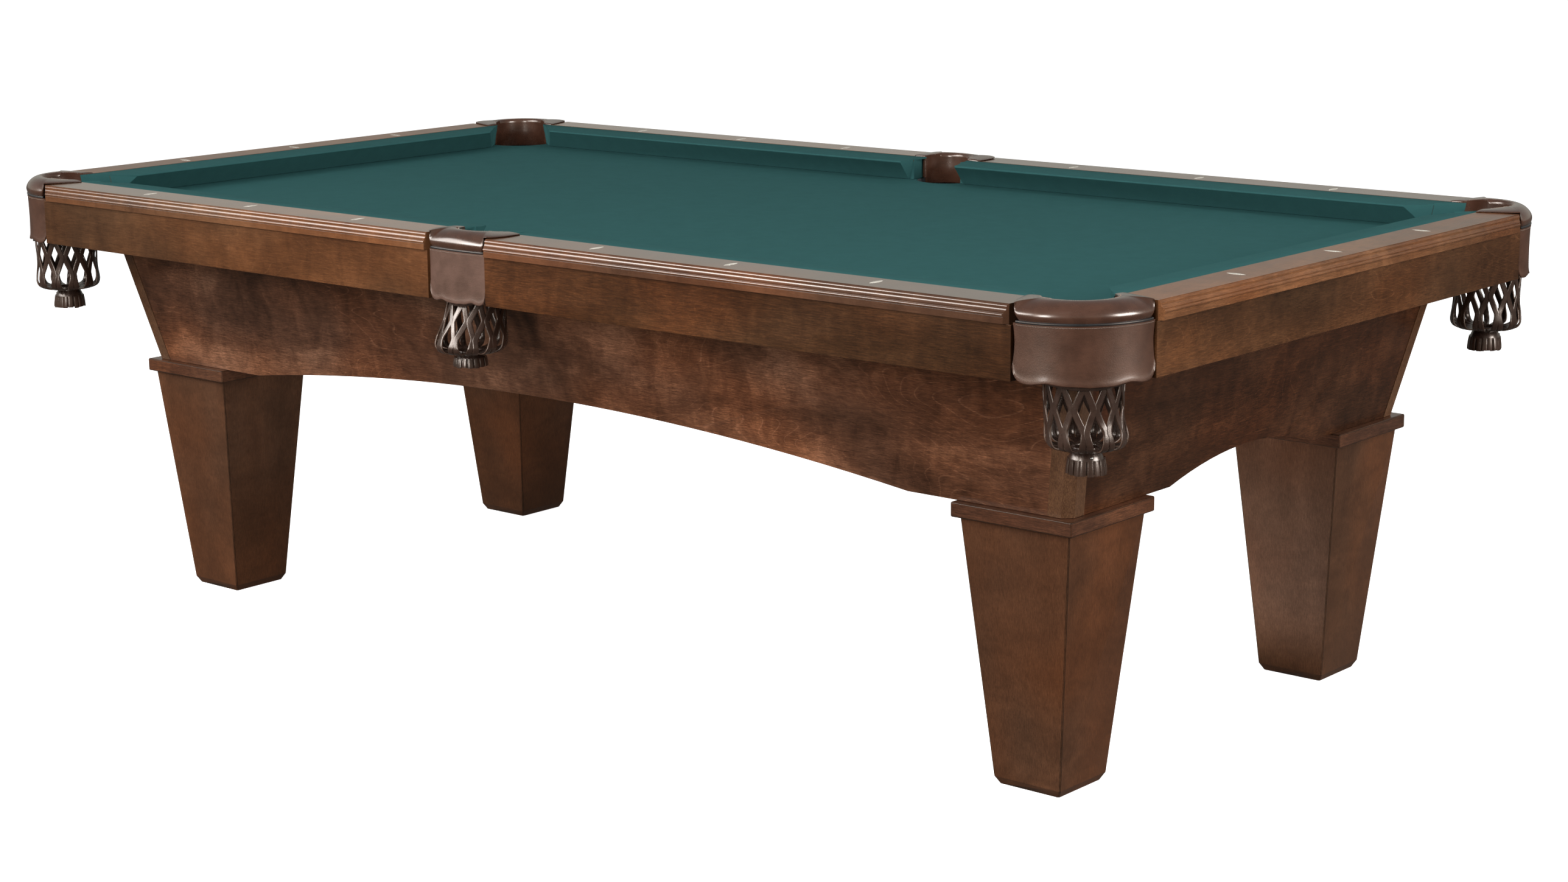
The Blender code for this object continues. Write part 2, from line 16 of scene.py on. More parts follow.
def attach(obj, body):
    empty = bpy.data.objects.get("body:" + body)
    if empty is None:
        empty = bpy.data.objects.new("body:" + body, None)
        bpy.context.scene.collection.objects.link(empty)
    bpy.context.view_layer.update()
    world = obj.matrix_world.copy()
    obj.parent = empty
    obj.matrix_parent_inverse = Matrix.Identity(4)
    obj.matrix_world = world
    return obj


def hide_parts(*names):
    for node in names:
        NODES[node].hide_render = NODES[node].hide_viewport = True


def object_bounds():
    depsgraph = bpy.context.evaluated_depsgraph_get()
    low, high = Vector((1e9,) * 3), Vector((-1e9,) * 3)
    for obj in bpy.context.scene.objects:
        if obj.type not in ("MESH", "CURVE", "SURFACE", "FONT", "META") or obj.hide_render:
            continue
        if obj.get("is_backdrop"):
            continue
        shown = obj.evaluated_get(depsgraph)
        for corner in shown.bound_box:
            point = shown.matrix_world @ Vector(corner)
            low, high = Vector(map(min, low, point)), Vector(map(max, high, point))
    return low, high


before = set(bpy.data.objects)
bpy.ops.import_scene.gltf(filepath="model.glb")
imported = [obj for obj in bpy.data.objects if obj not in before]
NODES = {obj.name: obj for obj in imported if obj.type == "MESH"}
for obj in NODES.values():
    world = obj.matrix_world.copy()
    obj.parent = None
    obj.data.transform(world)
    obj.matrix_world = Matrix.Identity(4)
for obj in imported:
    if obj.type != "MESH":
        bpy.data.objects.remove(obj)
CAD_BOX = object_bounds()

# Sizes that the CAD model is built from. Turns are in degrees from the middle line of a pocket.
HALF_LENGTH = 1.1176
HALF_WIDTH = 0.5588
RAIL_TOP = 0.800
SLATE_TOP = 0.757
GAP = 0.0003
ENDS = {"head": 1, "foot": -1}
SIDES = {"left": -1, "right": 1}
SLATE_X = 1.194
SLATE_Y = 0.635
CLOTH_THICKNESS = 0.001
CORNER_CUT_RADIUS = 0.072
SIDE_CUT_RADIUS = 0.062
SIDE_CUT_START = 0.0072
CUSHION_BACK = 0.032
CLOTH_EDGE = 0.064
FLAT_EDGE = 0.1318
MOULDING_FACE = 0.1394
RAIL_STEP = 0.105
RAIL_BOTTOM = SLATE_TOP + CLOTH_THICKNESS + 3 * GAP
MOULDING_BOTTOM = 0.7713
NOSE_HEIGHT = SLATE_TOP + CLOTH_THICKNESS + 0.0363
CORNER_MOUTH = 0.089
CORNER_FACING_RUN = 1 / tan(radians(38))
CORNER_RAIL_END = 0.0152
SIDE_MOUTH = 0.0651
SIDE_FACING_RUN = 1 / tan(radians(76))
SIDE_RAIL_END = 0.070
FACING_UNDERCUT = 0.2
COLLAR_BOTTOM = 0.7763
COLLAR_TOP = 0.810
HORN_TOP = 0.8070
LINER_THICKNESS = 0.005
CORNER_HOLE = 0.050
CORNER_HOLE_RADIUS = 0.053
CORNER_ARC = 0.003
CORNER_COLLAR_RADIUS = 0.131
CORNER_COLLAR_TURN = 50
SIDE_HOLE = 0.055
SIDE_HOLE_RADIUS = 0.050
SIDE_COLLAR_OUT = 0.137
SIDE_COLLAR_HALF = 0.0645
SIDE_FRONT_BOW = 0.0045
# A horn from its tip: the turn of its inner point round the hole, and its outer point as (along, depth).
CORNER_HORN = (
    (100, (-0.034, 0.066)),
    (88, (-0.028, 0.086)),
    (77, (-0.021, 0.106)),
    (67, (-0.014, 0.122)),
)
CORNER_HOLE_TURN = 58
SIDE_HORN = (
    (78, (0.080, 0.066)),
    (67, (0.081, 0.086)),
    (57, (0.079, 0.106)),
    (50, (0.073, 0.123)),
)
SIDE_HOLE_TURN = 46
CORNER_SHIELD_RADIUS = 0.129
CORNER_SHIELD_TURN = 48
SIDE_SHIELD_OUT = 0.135
SIDE_SHIELD_HALF = 0.0615
SHIELD_THICKNESS = 0.0035
SHIELD_BOTTOM = 0.683
CORNER_BASKET = 0.048
SIDE_BASKET = 0.076

# Sizes of what only this script adds: the sights,
SIGHT_DEPTH = 0.0937
SIGHT_LENGTH = 0.0324
SIGHT_WIDTH = 0.0105
SIGHT_PROUD = 0.0002
SIGHT_SINK = 0.0008
SIGHT_TOP = 0.94
SIGHT_STEPS = 12
SIGHT_SPACING = HALF_LENGTH / 4
# the collars' welts, seams and rolls,
WELT_RADIUS = 0.0022
WELT_REACH = 0.006
WELT_SETBACK = 0.0029
WELT_DROP = 0.0004
SEAM_SHARE = 0.11
SEAM_START = 4
COLLAR_SINK = 0.0035
ROLL_END_SHARE = 0.09
ROLL_MIDDLE = 0.7930
ROLL_END_SHRINK = 0.0025
LINER_BOTTOM = 0.7475
# the baskets' straps, and how far the baskets hang aside,
STRAP_WIDTH = 0.0094
STRAP_THICKNESS = 0.0028
STRAP_OVERLAP = 0.46
STRAP_COLUMNS = 11
STRAP_WANDER = 0.0005
STRAP_LAYER = 0.00025
CORNER_FIRST_TURN = 14.3
NEAR_BASKET = "head_left"
NEAR_BASKET_SWAY = (0.0034, -0.0028)
NECK_SWAY = 1.9
NECK_SWAY_START = 0.650
NECK_SWAY_DROP = 0.050
SIDE_BASKET_SWAY = -0.0130
SIDE_BASKET_LEAN = 0.25
SIDE_BASKET_LEAN_DROP = 0.08
SIDE_BASKET_LENGTH = 0.87
# their necks and fringes,
NECK_TOP = 0.5935
FRINGE_BOTTOM = 0.5545
FRINGE_STRIPS = 17
FRINGE_START = 0.43
FRINGE_LEVELS = 12
FRINGE_LAYER = 0.0030
FRINGE_THICKNESS = 0.0022
FRINGE_CUT = 0.11
BELL_RADIUS = 0.0252
BELL_FLARE = 0.0022
SIDE_FRINGE_LENGTH = 0.026
# the shields,
SHIELD_EDGE_LIFT = 0.0055
SHIELD_BACKING_RISE = 0.0095
SHIELD_WIDENING = 1.045
SHIELD_WAIST = 0.024
SIDE_SHIELD_WAVE = 0.25
SHIELD_CORNER = 0.012
SHIELD_TURN_OUT = 0.0015
SHIELD_BACKING_TOP = 0.018
SHIELD_BACKING_WIDTH = 0.62
SHIELD_SEAM_PROUD = 0.0006
SHIELD_SEAM_DROP = 0.0026
# the rivets and screws as (radius, height), with their places and the ways that they face,
RIVET_OUT = (0.81, 0.59)
RIVET_DROP = 0.0130
RIVET_REACH = 0.0240
RIVET_SIZE = (0.0021, 0.0018)
POST_SCREW = (-0.0319, -0.0468, 0.5925)
POST_FACE = (0.677, -0.288)
SCREW_SIZE = (0.0030, 0.0013)
# and the cloth over the rails' ends.
FACING_CLOTH = 0.0006
FACING_CLOTH_END = 0.0650
FACING_LAP = 0.014


# ---------------- materials

WARM_SHINE = (1.0, 0.80, 0.66, 1.0)
WARMER = (1.16, 0.98, 0.80)
COOLER = (0.92, 0.97, 1.00)
RING_LINES = 52.0
RING_PALENESS = 2.6


def add_node(tree, kind, inputs=None, **settings):
    """A shader node with its settings, and its inputs given as values or as other nodes' outputs."""
    node = tree.nodes.new(kind)
    for key, value in settings.items():
        setattr(node, key, value)
    for key, value in (inputs or {}).items():
        if isinstance(value, bpy.types.NodeSocket):
            tree.links.new(value, node.inputs[key])
        else:
            node.inputs[key].default_value = value
    return node


def start_material(name, **constants):
    """A Principled material, with the values of its constant sockets by name, with _ for a space."""
    made = bpy.data.materials.new(name)
    made.use_nodes = True
    shader = made.node_tree.nodes["Principled BSDF"]
    for key, value in constants.items():
        shader.inputs[key.replace("_", " ")].default_value = value
    return made, made.node_tree, shader


def mapped(tree, scale, shift=(0.0, 0.0, 0.0)):
    place = add_node(tree, "ShaderNodeTexCoord").outputs["Object"]
    inputs = {"Vector": place, "Scale": scale, "Location": shift}
    return add_node(tree, "ShaderNodeMapping", inputs).outputs["Vector"]


def noise(tree, vector, scale=1.0, detail=3.0, roughness=0.5, distortion=0.0):
    inputs = {"Vector": vector, "Scale": scale, "Detail": detail, "Roughness": roughness}
    inputs["Distortion"] = distortion
    return add_node(tree, "ShaderNodeTexNoise", inputs).outputs["Fac"]


def maths(tree, operation, first, second=0.0, third=0.0):
    node = add_node(tree, "ShaderNodeMath", operation=operation)
    for socket, value in zip(node.inputs, (first, second, third)):
        if isinstance(value, bpy.types.NodeSocket):
            tree.links.new(value, socket)
        else:
            socket.default_value = value
    return node.outputs[0]


def ramp(tree, factor, stops):
    """A colour ramp through (position, colour) stops. A colour is three linear values or one grey."""
    node = add_node(tree, "ShaderNodeValToRGB", {"Fac": factor})
    elements = node.color_ramp.elements
    while len(elements) < len(stops):
        elements.new(0.5)
    for element, (position, colour) in zip(elements, stops):
        element.position = position
        values = colour if isinstance(colour, tuple) else (colour,) * 3
        element.color = (*values, 1.0)
    return node.outputs["Color"]


def mix(tree, factor, first, second, blend="MIX"):
    """Two colours mixed. A colour is a node's output or three linear values."""
    node = add_node(tree, "ShaderNodeMix", data_type="RGBA", blend_type=blend)
    for index, value in ((0, factor), (6, first), (7, second)):
        if isinstance(value, bpy.types.NodeSocket):
            tree.links.new(value, node.inputs[index])
        else:
            node.inputs[index].default_value = (*value, 1.0) if isinstance(value, tuple) else value
    return node.outputs[2]


def bump(tree, shader, height, strength, distance):
    inputs = {"Height": height, "Strength": strength, "Distance": distance}
    normal = add_node(tree, "ShaderNodeBump", inputs).outputs["Normal"]
    tree.links.new(normal, shader.inputs["Normal"])


def wood(name, along, stain, gloss=0.31, contour=0.22, shift=0.0, coat=0.12, blotch=(2.2, 7.0), grained=1.0):
    """Stained and lacquered wood with its grain along one axis: soft blotches that differ in hue, a faint
    figure, short dark pores, and thin pale lines where the growth rings come to the surface. contour is how
    strong those lines are and grained how strong the fibres and pores. shift moves the whole pattern."""
    dark, middle, light = stain
    shine = {"Coat_Weight": coat, "Coat_Roughness": 0.18, "Specular_IOR_Level": 0.30}
    made, tree, shader = start_material(name, Specular_Tint=WARM_SHINE, **shine)

    def grain(lengthwise, crosswise):
        scale = [crosswise] * 3
        scale["XYZ".index(along)] = lengthwise
        return mapped(tree, scale, (shift, shift * 0.7, shift * 1.3))

    blotches = noise(tree, grain(*blotch), detail=4, roughness=0.55, distortion=0.5)
    figure = noise(tree, grain(21, 11), detail=4, roughness=0.62, distortion=1.1)
    fibres = noise(tree, grain(42, 820), detail=5, roughness=0.75, distortion=0.2)
    pores = noise(tree, grain(170, 2300), detail=2, roughness=0.6)
    hue = noise(tree, grain(3.1, 4.3), detail=2)
    tone = maths(tree, "MULTIPLY_ADD", blotches, 0.66, maths(tree, "MULTIPLY", figure, 0.34))
    colour = ramp(tree, tone, [(0.33, dark), (0.50, middle), (0.66, light)])
    warm = mix(tree, 1.0, colour, WARMER, "MULTIPLY")
    cool = mix(tree, 1.0, colour, COOLER, "MULTIPLY")
    colour = mix(tree, ramp(tree, hue, [(0.36, 0.0), (0.64, 1.0)]), cool, warm)
    rings = noise(tree, grain(1.7, 6.5), detail=2.0, roughness=0.3, distortion=0.25)
    lines = maths(tree, "FRACT", maths(tree, "MULTIPLY", rings, RING_LINES))
    lines = ramp(tree, lines, [(0.42, 0.0), (0.50, contour), (0.54, 0.0)])
    lines = maths(tree, "MULTIPLY", lines, ramp(tree, hue, [(0.42, 0.10), (0.54, 1.0)]))
    lines = maths(tree, "MULTIPLY", lines, ramp(tree, fibres, [(0.38, 0.15), (0.56, 1.0)]))
    paler = tuple(min(1.0, RING_PALENESS * channel) for channel in light)
    colour = mix(tree, lines, colour, paler)
    strands = ramp(tree, fibres, [(0.38, 0.58), (0.50, 0.98), (0.62, 1.48)])
    colour = mix(tree, grained, colour, strands, "MULTIPLY")
    flecks = ramp(tree, pores, [(0.34, 0.40), (0.43, 0.97), (0.60, 1.03), (0.70, 1.50)])
    colour = mix(tree, grained, colour, flecks, "MULTIPLY")
    tree.links.new(colour, shader.inputs["Base Color"])
    rough = maths(tree, "MULTIPLY_ADD", blotches, 0.20, gloss - 0.10)
    tree.links.new(rough, shader.inputs["Roughness"])
    bump(tree, shader, maths(tree, "ADD", pores, fibres), 0.08, 0.0004)
    return made


def leather(name, dark, light, gloss, coat, grain_strength=0.22):
    """Dyed leather with a fine pebbled grain, faint creases, and a waxed shine."""
    shine = {"Coat_Weight": coat, "Coat_Roughness": 0.20, "Specular_Tint": WARM_SHINE}
    made, tree, shader = start_material(name, **shine)
    place = mapped(tree, (1.0, 1.0, 1.0))
    inputs = {"Vector": place, "Scale": 640.0}
    cells = add_node(tree, "ShaderNodeTexVoronoi", inputs, feature="SMOOTH_F1").outputs["Distance"]
    fine = noise(tree, place, scale=1500, detail=2)
    patches = noise(tree, place, scale=26, detail=4, roughness=0.6)
    creases = noise(tree, mapped(tree, (60, 60, 340)), detail=3, distortion=1.6)
    tone = maths(tree, "MULTIPLY_ADD", creases, 0.25, maths(tree, "MULTIPLY", patches, 0.75))
    colour = ramp(tree, tone, [(0.34, dark), (0.64, light)])
    tree.links.new(colour, shader.inputs["Base Color"])
    rough = maths(tree, "MULTIPLY_ADD", patches, 0.14, gloss - 0.07)
    tree.links.new(rough, shader.inputs["Roughness"])
    height = maths(tree, "MULTIPLY_ADD", cells, 0.8, maths(tree, "MULTIPLY", fine, 0.5))
    height = maths(tree, "MULTIPLY_ADD", creases, 0.35, height)
    bump(tree, shader, height, grain_strength, 0.0005)
    return made


def worsted(name, colour):
    """Napless billiard cloth: an even twill too fine to see from afar, with a slight mottle."""
    made, tree, shader = start_material(name, Roughness=0.95, Specular_IOR_Level=0.03)
    place = mapped(tree, (1.0, 1.0, 1.0))
    mottle = noise(tree, place, scale=35, detail=5, roughness=0.7)
    fibres = noise(tree, mapped(tree, (900, 2600, 1600)), detail=2)
    tone = maths(tree, "MULTIPLY_ADD", fibres, 0.4, maths(tree, "MULTIPLY", mottle, 0.6))
    deep = tuple(0.90 * channel for channel in colour)
    pale = tuple(1.10 * channel for channel in colour)
    tree.links.new(ramp(tree, tone, [(0.3, deep), (0.7, pale)]), shader.inputs["Base Color"])
    inputs = {"Vector": place, "Scale": 420.0, "Distortion": 0.6}
    twill = add_node(tree, "ShaderNodeTexWave", inputs, bands_direction="DIAGONAL").outputs["Fac"]
    bump(tree, shader, maths(tree, "ADD", twill, fibres), 0.12, 0.0003)
    return made


def plain(name, dark, light, scale, roughness, **constants):
    """A finish that only varies softly between two colours."""
    made, tree, shader = start_material(name, **constants)
    tone = noise(tree, mapped(tree, (1.0, 1.0, 1.0)), scale=scale, detail=4, roughness=0.6)
    tree.links.new(ramp(tree, tone, [(0.35, dark), (0.65, light)]), shader.inputs["Base Color"])
    rough = maths(tree, "MULTIPLY_ADD", tone, 0.12, roughness - 0.06)
    tree.links.new(rough, shader.inputs["Roughness"])
    bump(tree, shader, tone, 0.08, 0.0003)
    return made


# Stains, each as its dark, middle and light colour. The end panels' stain is darkened with painted shade.
# The head and foot stains of the aprons and rails differ partly in the wood's own tone and partly by painted
# light and shade.
SIDE_PANEL = ((0.025, 0.0102, 0.0056), (0.078, 0.0330, 0.0180), (0.178, 0.0820, 0.0460))
# The end panels' stain is darkened with painted shade, for the shade that falls under the end aprons'
# overhang.
END_PANEL_PAINTED_SHADE = ((0.013, 0.0046, 0.0020), (0.036, 0.0128, 0.0056), (0.076, 0.0290, 0.0130))
# The head aprons' stain is darker and the foot aprons' paler, partly in the wood's own tone and partly as
# painted light and shade.
HEAD_APRON = ((0.0170, 0.0062, 0.0022), (0.0335, 0.0125, 0.0043), (0.0600, 0.0240, 0.0090))
FOOT_APRON = ((0.032, 0.0136, 0.0062), (0.060, 0.0260, 0.0112), (0.102, 0.0460, 0.0205))
END_APRON = ((0.024, 0.0098, 0.0042), (0.046, 0.0195, 0.0082), (0.084, 0.0375, 0.0165))
LEG = ((0.040, 0.0170, 0.0088), (0.059, 0.0250, 0.0126), (0.086, 0.0360, 0.0178))
POST = ((0.040, 0.0200, 0.0110), (0.062, 0.0320, 0.0185), (0.094, 0.0500, 0.0290))
WORN_EDGE = ((0.010, 0.006, 0.004), (0.018, 0.010, 0.006), (0.030, 0.016, 0.010))
CAP = ((0.026, 0.0112, 0.0066), (0.052, 0.0215, 0.0120), (0.094, 0.0390, 0.0200))
# The head rails' stain is darker and the foot rails' paler, partly in the wood's own tone and partly as
# painted light and shade.
HEAD_RAIL = ((0.032, 0.0130, 0.0066), (0.056, 0.0235, 0.0120), (0.096, 0.0420, 0.0215))
FOOT_RAIL = ((0.060, 0.0250, 0.0115), (0.105, 0.0460, 0.0210), (0.170, 0.0790, 0.0370))
END_RAIL = ((0.058, 0.0230, 0.0100), (0.100, 0.0430, 0.0190), (0.165, 0.0760, 0.0350))
BARE_TIMBER = ((0.30, 0.20, 0.11), (0.42, 0.29, 0.17), (0.52, 0.38, 0.24))

PANEL_X = wood("walnut_panel_lengthwise", "X", SIDE_PANEL, contour=0.17, blotch=(3.2, 9.0))
# Crosswise panel wood in the stain that is darkened with painted shade.
PANEL_Y_PAINTED_SHADE = wood("walnut_panel_crosswise_painted_shade", "Y", END_PANEL_PAINTED_SHADE, contour=0.16, shift=0.37)
APRON_X = wood("walnut_apron_lengthwise", "X", HEAD_APRON, contour=0.12, shift=0.61)
APRON_X_PALE = wood("walnut_apron_pale", "X", FOOT_APRON, contour=0.12, shift=0.71, grained=0.6)
APRON_Y = wood("walnut_apron_crosswise", "Y", END_APRON, contour=0.22, shift=0.83, grained=0.8)
LEG_WOOD = wood("walnut_leg", "Z", LEG, contour=0.0, shift=0.19, blotch=(2.6, 7.0), grained=0.6)
POST_WOOD = wood("walnut_post", "Z", POST, contour=0.0, shift=0.47)
EDGE_WOOD = wood("walnut_dark_edge", "Z", WORN_EDGE, contour=0.0)
CAP_X = wood("walnut_cap_lengthwise", "X", CAP, contour=0.0, coat=0.4)
CAP_Y = wood("walnut_cap_crosswise", "Y", CAP, contour=0.0, coat=0.4, shift=0.13)
POLISHED = {"gloss": 0.20, "contour": 0.0, "coat": 0.8, "grained": 0.3}
RAIL_X = wood("walnut_rail_lengthwise", "X", HEAD_RAIL, shift=0.29, **POLISHED)
RAIL_X_PALE = wood("walnut_rail_pale", "X", FOOT_RAIL, shift=0.33, **POLISHED)
SATIN = {"gloss": 0.30, "contour": 0.0, "coat": 0.25, "grained": 0.7}
RAIL_Y = wood("walnut_rail_crosswise", "Y", END_RAIL, shift=0.53, **SATIN)
TIMBER_X = wood("timber_lengthwise", "X", BARE_TIMBER, gloss=0.7, coat=0.0)
TIMBER_Y = wood("timber_crosswise", "Y", BARE_TIMBER, gloss=0.7, coat=0.0)
LEATHER = leather("pocket_leather", (0.029, 0.0116, 0.0068), (0.054, 0.0226, 0.0134), 0.42, 0.2)
# The side shields' leather is paler than the other shields' as a painted sheen, standing in for a reflection
# of the lights.
SHEEN_PAINTED_LEATHER = leather(
    "side_pocket_leather_painted_sheen", (0.052, 0.0270, 0.0190), (0.090, 0.0480, 0.0350), 0.40, 0.35, grain_strength=0.30
)
ROLL_LEATHER = leather(
    "roll_leather", (0.028, 0.0114, 0.0068), (0.050, 0.0212, 0.0128), 0.27, 0.85, grain_strength=0.12
)
STRAP_LEATHER = leather("strap_leather", (0.015, 0.0078, 0.0054), (0.034, 0.0182, 0.0130), 0.27, 0.5)
EDGE_LEATHER = leather("cut_edge_leather", (0.045, 0.025, 0.017), (0.095, 0.055, 0.038), 0.42, 0.2)
WELT_LEATHER = leather("welt_leather", (0.006, 0.0070, 0.0080), (0.012, 0.0140, 0.0160), 0.40, 0.1)
STRAP_FINISH = (STRAP_LEATHER, EDGE_LEATHER)
CLOTH = worsted("billiard_cloth", (0.0206, 0.0650, 0.0645))
THREAD = plain("thread", (0.13, 0.09, 0.07), (0.25, 0.19, 0.15), 900, 0.55)
NACRE = {"Coat_Weight": 0.3, "Coat_Roughness": 0.10}
PEARL = plain("pearl", (0.40, 0.37, 0.31), (0.62, 0.59, 0.52), 130, 0.22, **NACRE)
STEEL = plain("steel", (0.30, 0.29, 0.27), (0.48, 0.46, 0.43), 300, 0.32, Metallic=1.0)
SLATE = plain("slate", (0.060, 0.066, 0.070), (0.105, 0.112, 0.118), 22, 0.72)


# ---------------- mesh helpers


def skin(bm, rings, caps=True):
    """Adds a surface through rings of points, all with the same number of them. Gives its side faces."""
    rows = [[bm.verts.new(point) for point in ring] for ring in rings]
    sides = []
    for lower, upper in zip(rows, rows[1:]):
        for i in range(len(lower)):
            j = (i + 1) % len(lower)
            sides.append(bm.faces.new((lower[i], lower[j], upper[j], upper[i])))
    if caps:
        bm.faces.new(rows[0][::-1])
        bm.faces.new(rows[-1])
    return sides


def loft(rings, caps=True):
    bm = bmesh.new()
    skin(bm, rings, caps)
    return bm


def circle(centre, first, second, radius, count):
    """Points round a centre, in the plane of two directions at right angles."""
    turns = [2 * pi * k / count for k in range(count)]
    return [centre + radius * (cos(turn) * first + sin(turn) * second) for turn in turns]


def arc(centre, radius, start, end, steps):
    turns = [radians(start + (end - start) * i / steps) for i in range(steps + 1)]
    return [(centre[0] + radius * cos(turn), centre[1] + radius * sin(turn)) for turn in turns]


def spline(rows, steps):
    """Rows of numbers with a smooth curve put through them, so many steps to each gap."""
    made = []
    last = len(rows) - 1
    for i in range(last):
        near = [rows[max(i - 1, 0)], rows[i], rows[i + 1], rows[min(i + 2, last)]]
        for k in range(steps):
            t = k / steps
            made.append([catmull_rom(*values, t) for values in zip(*near)])
    made.append(list(rows[-1]))
    return made


def catmull_rom(a, b, c, d, t):
    return b + t * ((c - a) / 2 + t * ((2 * a - 5 * b + 4 * c - d) / 2 + t * (3 * b - a - 3 * c + d) / 2))


def level_of(table, height):
    """The value at a height in a table of (height, value) that falls in height."""
    for (high, first), (low, second) in zip(table, table[1:]):
        if height >= low:
            return first + (second - first) * (high - height) / (high - low)
    return table[-1][1]


def keep_below(bm, normal, limit):
    """Cuts away what lies beyond the plane where a point's product with the normal equals the limit."""
    normal = Vector(normal)
    everything = bm.verts[:] + bm.edges[:] + bm.faces[:]
    on_plane = normal * (limit / normal.length_squared)
    bmesh.ops.bisect_plane(bm, geom=everything, plane_co=on_plane, plane_no=normal, clear_outer=True)
    open_edges = [edge for edge in bm.edges if edge.is_boundary]
    bmesh.ops.holes_fill(bm, edges=open_edges, sides=0)


def placed(bm, place):
    for vert in bm.verts:
        vert.co = place(*vert.co)
    return bm


def add_piece(name, bm, finish, smooth=45, turn=True, replaced=()):
    """A shown piece from a bmesh, smooth below an angle in degrees, in place of the named CAD nodes."""
    if turn:
        bmesh.ops.recalc_face_normals(bm, faces=bm.faces)
        if bm.calc_volume(signed=True) < 0:
            bmesh.ops.reverse_faces(bm, faces=bm.faces)
    mesh = bpy.data.meshes.new(name)
    bm.to_mesh(mesh)
    bm.free()
    for material in finish if isinstance(finish, tuple) else (finish,):
        mesh.materials.append(material)
    mesh.shade_smooth()
    mesh.set_sharp_from_angle(angle=radians(smooth))
    made = bpy.data.objects.new(name, mesh)
    bpy.context.scene.collection.objects.link(made)
    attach(made, "root")
    if replaced:
        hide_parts(*replaced)
    return made


def sweep(bm, path, radius, sides):
    """A round tube with closed ends along a path of points."""
    rings = []
    for i, point in enumerate(path):
        ahead = Vector(path[min(i + 1, len(path) - 1)]) - Vector(path[max(i - 1, 0)])
        across = ahead.cross(Vector((0, 0, 1))).normalized()
        up = across.cross(ahead).normalized()
        rings.append(circle(Vector(point), across, up, radius, sides))
    skin(bm, rings)


def stitches(bm, path, pitch, length, radius, slant=0.0):
    """A row of thread stitches along a path of points. slant turns every other stitch up or down."""
    travelled = 0.0
    wanted = pitch / 2
    count = 0
    for start, end in zip(path, path[1:]):
        start, end = Vector(start), Vector(end)
        step = (end - start).length
        while travelled + step >= wanted and step > 0:
            middle = start.lerp(end, (wanted - travelled) / step)
            ahead = (end - start).normalized()
            tilt = Vector((0, 0, slant if count % 2 else -slant))
            half = (ahead + tilt).normalized() * (length / 2)
            across = ahead.cross(Vector((0, 0, 1))).normalized()
            up = across.cross(half).normalized()
            outline = ((-1.0, 0.35), (-0.6, 1.0), (0.6, 1.0), (1.0, 0.35))
            skin(bm, [circle(middle + half * at, across, up, radius * size, 6) for at, size in outline])
            wanted += pitch
            count += 1
        travelled += step


# ---------------- wood that keeps its CAD shape

WELD_DISTANCE = 0.00001
EDGE_ROUNDING = 0.0007
EDGE_ANGLE = 28


def refinish(node, finish, edge=None, across=None):
    """Gives a CAD node its finish, and rounds its edges so that they catch the light. edge is a finish for
    the rounded edges, and across is one for the faces that look along X."""
    obj = NODES[node]
    obj.data.materials.clear()
    for each in (finish, edge or finish, across or finish):
        obj.data.materials.append(each)
    for polygon in obj.data.polygons:
        along_x = abs(polygon.normal.x) > abs(polygon.normal.y) + abs(polygon.normal.z)
        polygon.material_index = 2 if along_x else 0
    weld = obj.modifiers.new("weld", "WELD")
    weld.merge_threshold = WELD_DISTANCE
    bevel = obj.modifiers.new("round_edges", "BEVEL")
    bevel.width = EDGE_ROUNDING
    bevel.segments = 2
    bevel.limit_method = "ANGLE"
    bevel.angle_limit = radians(EDGE_ANGLE)
    bevel.harden_normals = True
    bevel.material = 1


def refinish_cabinet():
    for end_name in ENDS:
        for side_name in SIDES:
            corner = f"{end_name}_{side_name}"
            refinish(f"leg_{corner}", LEG_WOOD, edge=EDGE_WOOD)
            refinish(f"leg_cap_{corner}", CAP_X, edge=EDGE_WOOD, across=CAP_Y)
            refinish(f"corner_post_{corner}", POST_WOOD)
            # Head and foot aprons take stains whose difference is partly the wood's own tone and partly
            # painted light and shade.
            refinish(f"apron_{side_name}_{end_name}", APRON_X if end_name == "head" else APRON_X_PALE)
        refinish(f"apron_{end_name}", APRON_Y)
        # The end panels take the stain that is darkened with painted shade.
        refinish(f"end_panel_{end_name}", PANEL_Y_PAINTED_SHADE)
        refinish(f"cross_beam_{end_name}", TIMBER_Y)
    for side_name in SIDES:
        refinish(f"side_panel_{side_name}", PANEL_X)
        refinish(f"long_beam_{side_name}", TIMBER_X)
    for third in ("foot", "middle", "head"):
        refinish(f"slate_{third}", SLATE)


# ---------------- bed cloth


def corner_cut():
    centre = (HALF_LENGTH + CORNER_BASKET, HALF_WIDTH + CORNER_BASKET)
    start = 360 - degrees(acos((SLATE_X - centre[0]) / CORNER_CUT_RADIUS))
    end = 180 - degrees(asin((SLATE_Y - centre[1]) / CORNER_CUT_RADIUS))
    return arc(centre, CORNER_CUT_RADIUS, start, end, 20)


def side_cut():
    centre = (0.0, HALF_WIDTH + SIDE_CUT_START + SIDE_CUT_RADIUS)
    slot = arc(centre, SIDE_CUT_RADIUS, 0, -180, 24)
    return [(SIDE_CUT_RADIUS, SLATE_Y), *slot, (-SIDE_CUT_RADIUS, SLATE_Y)]


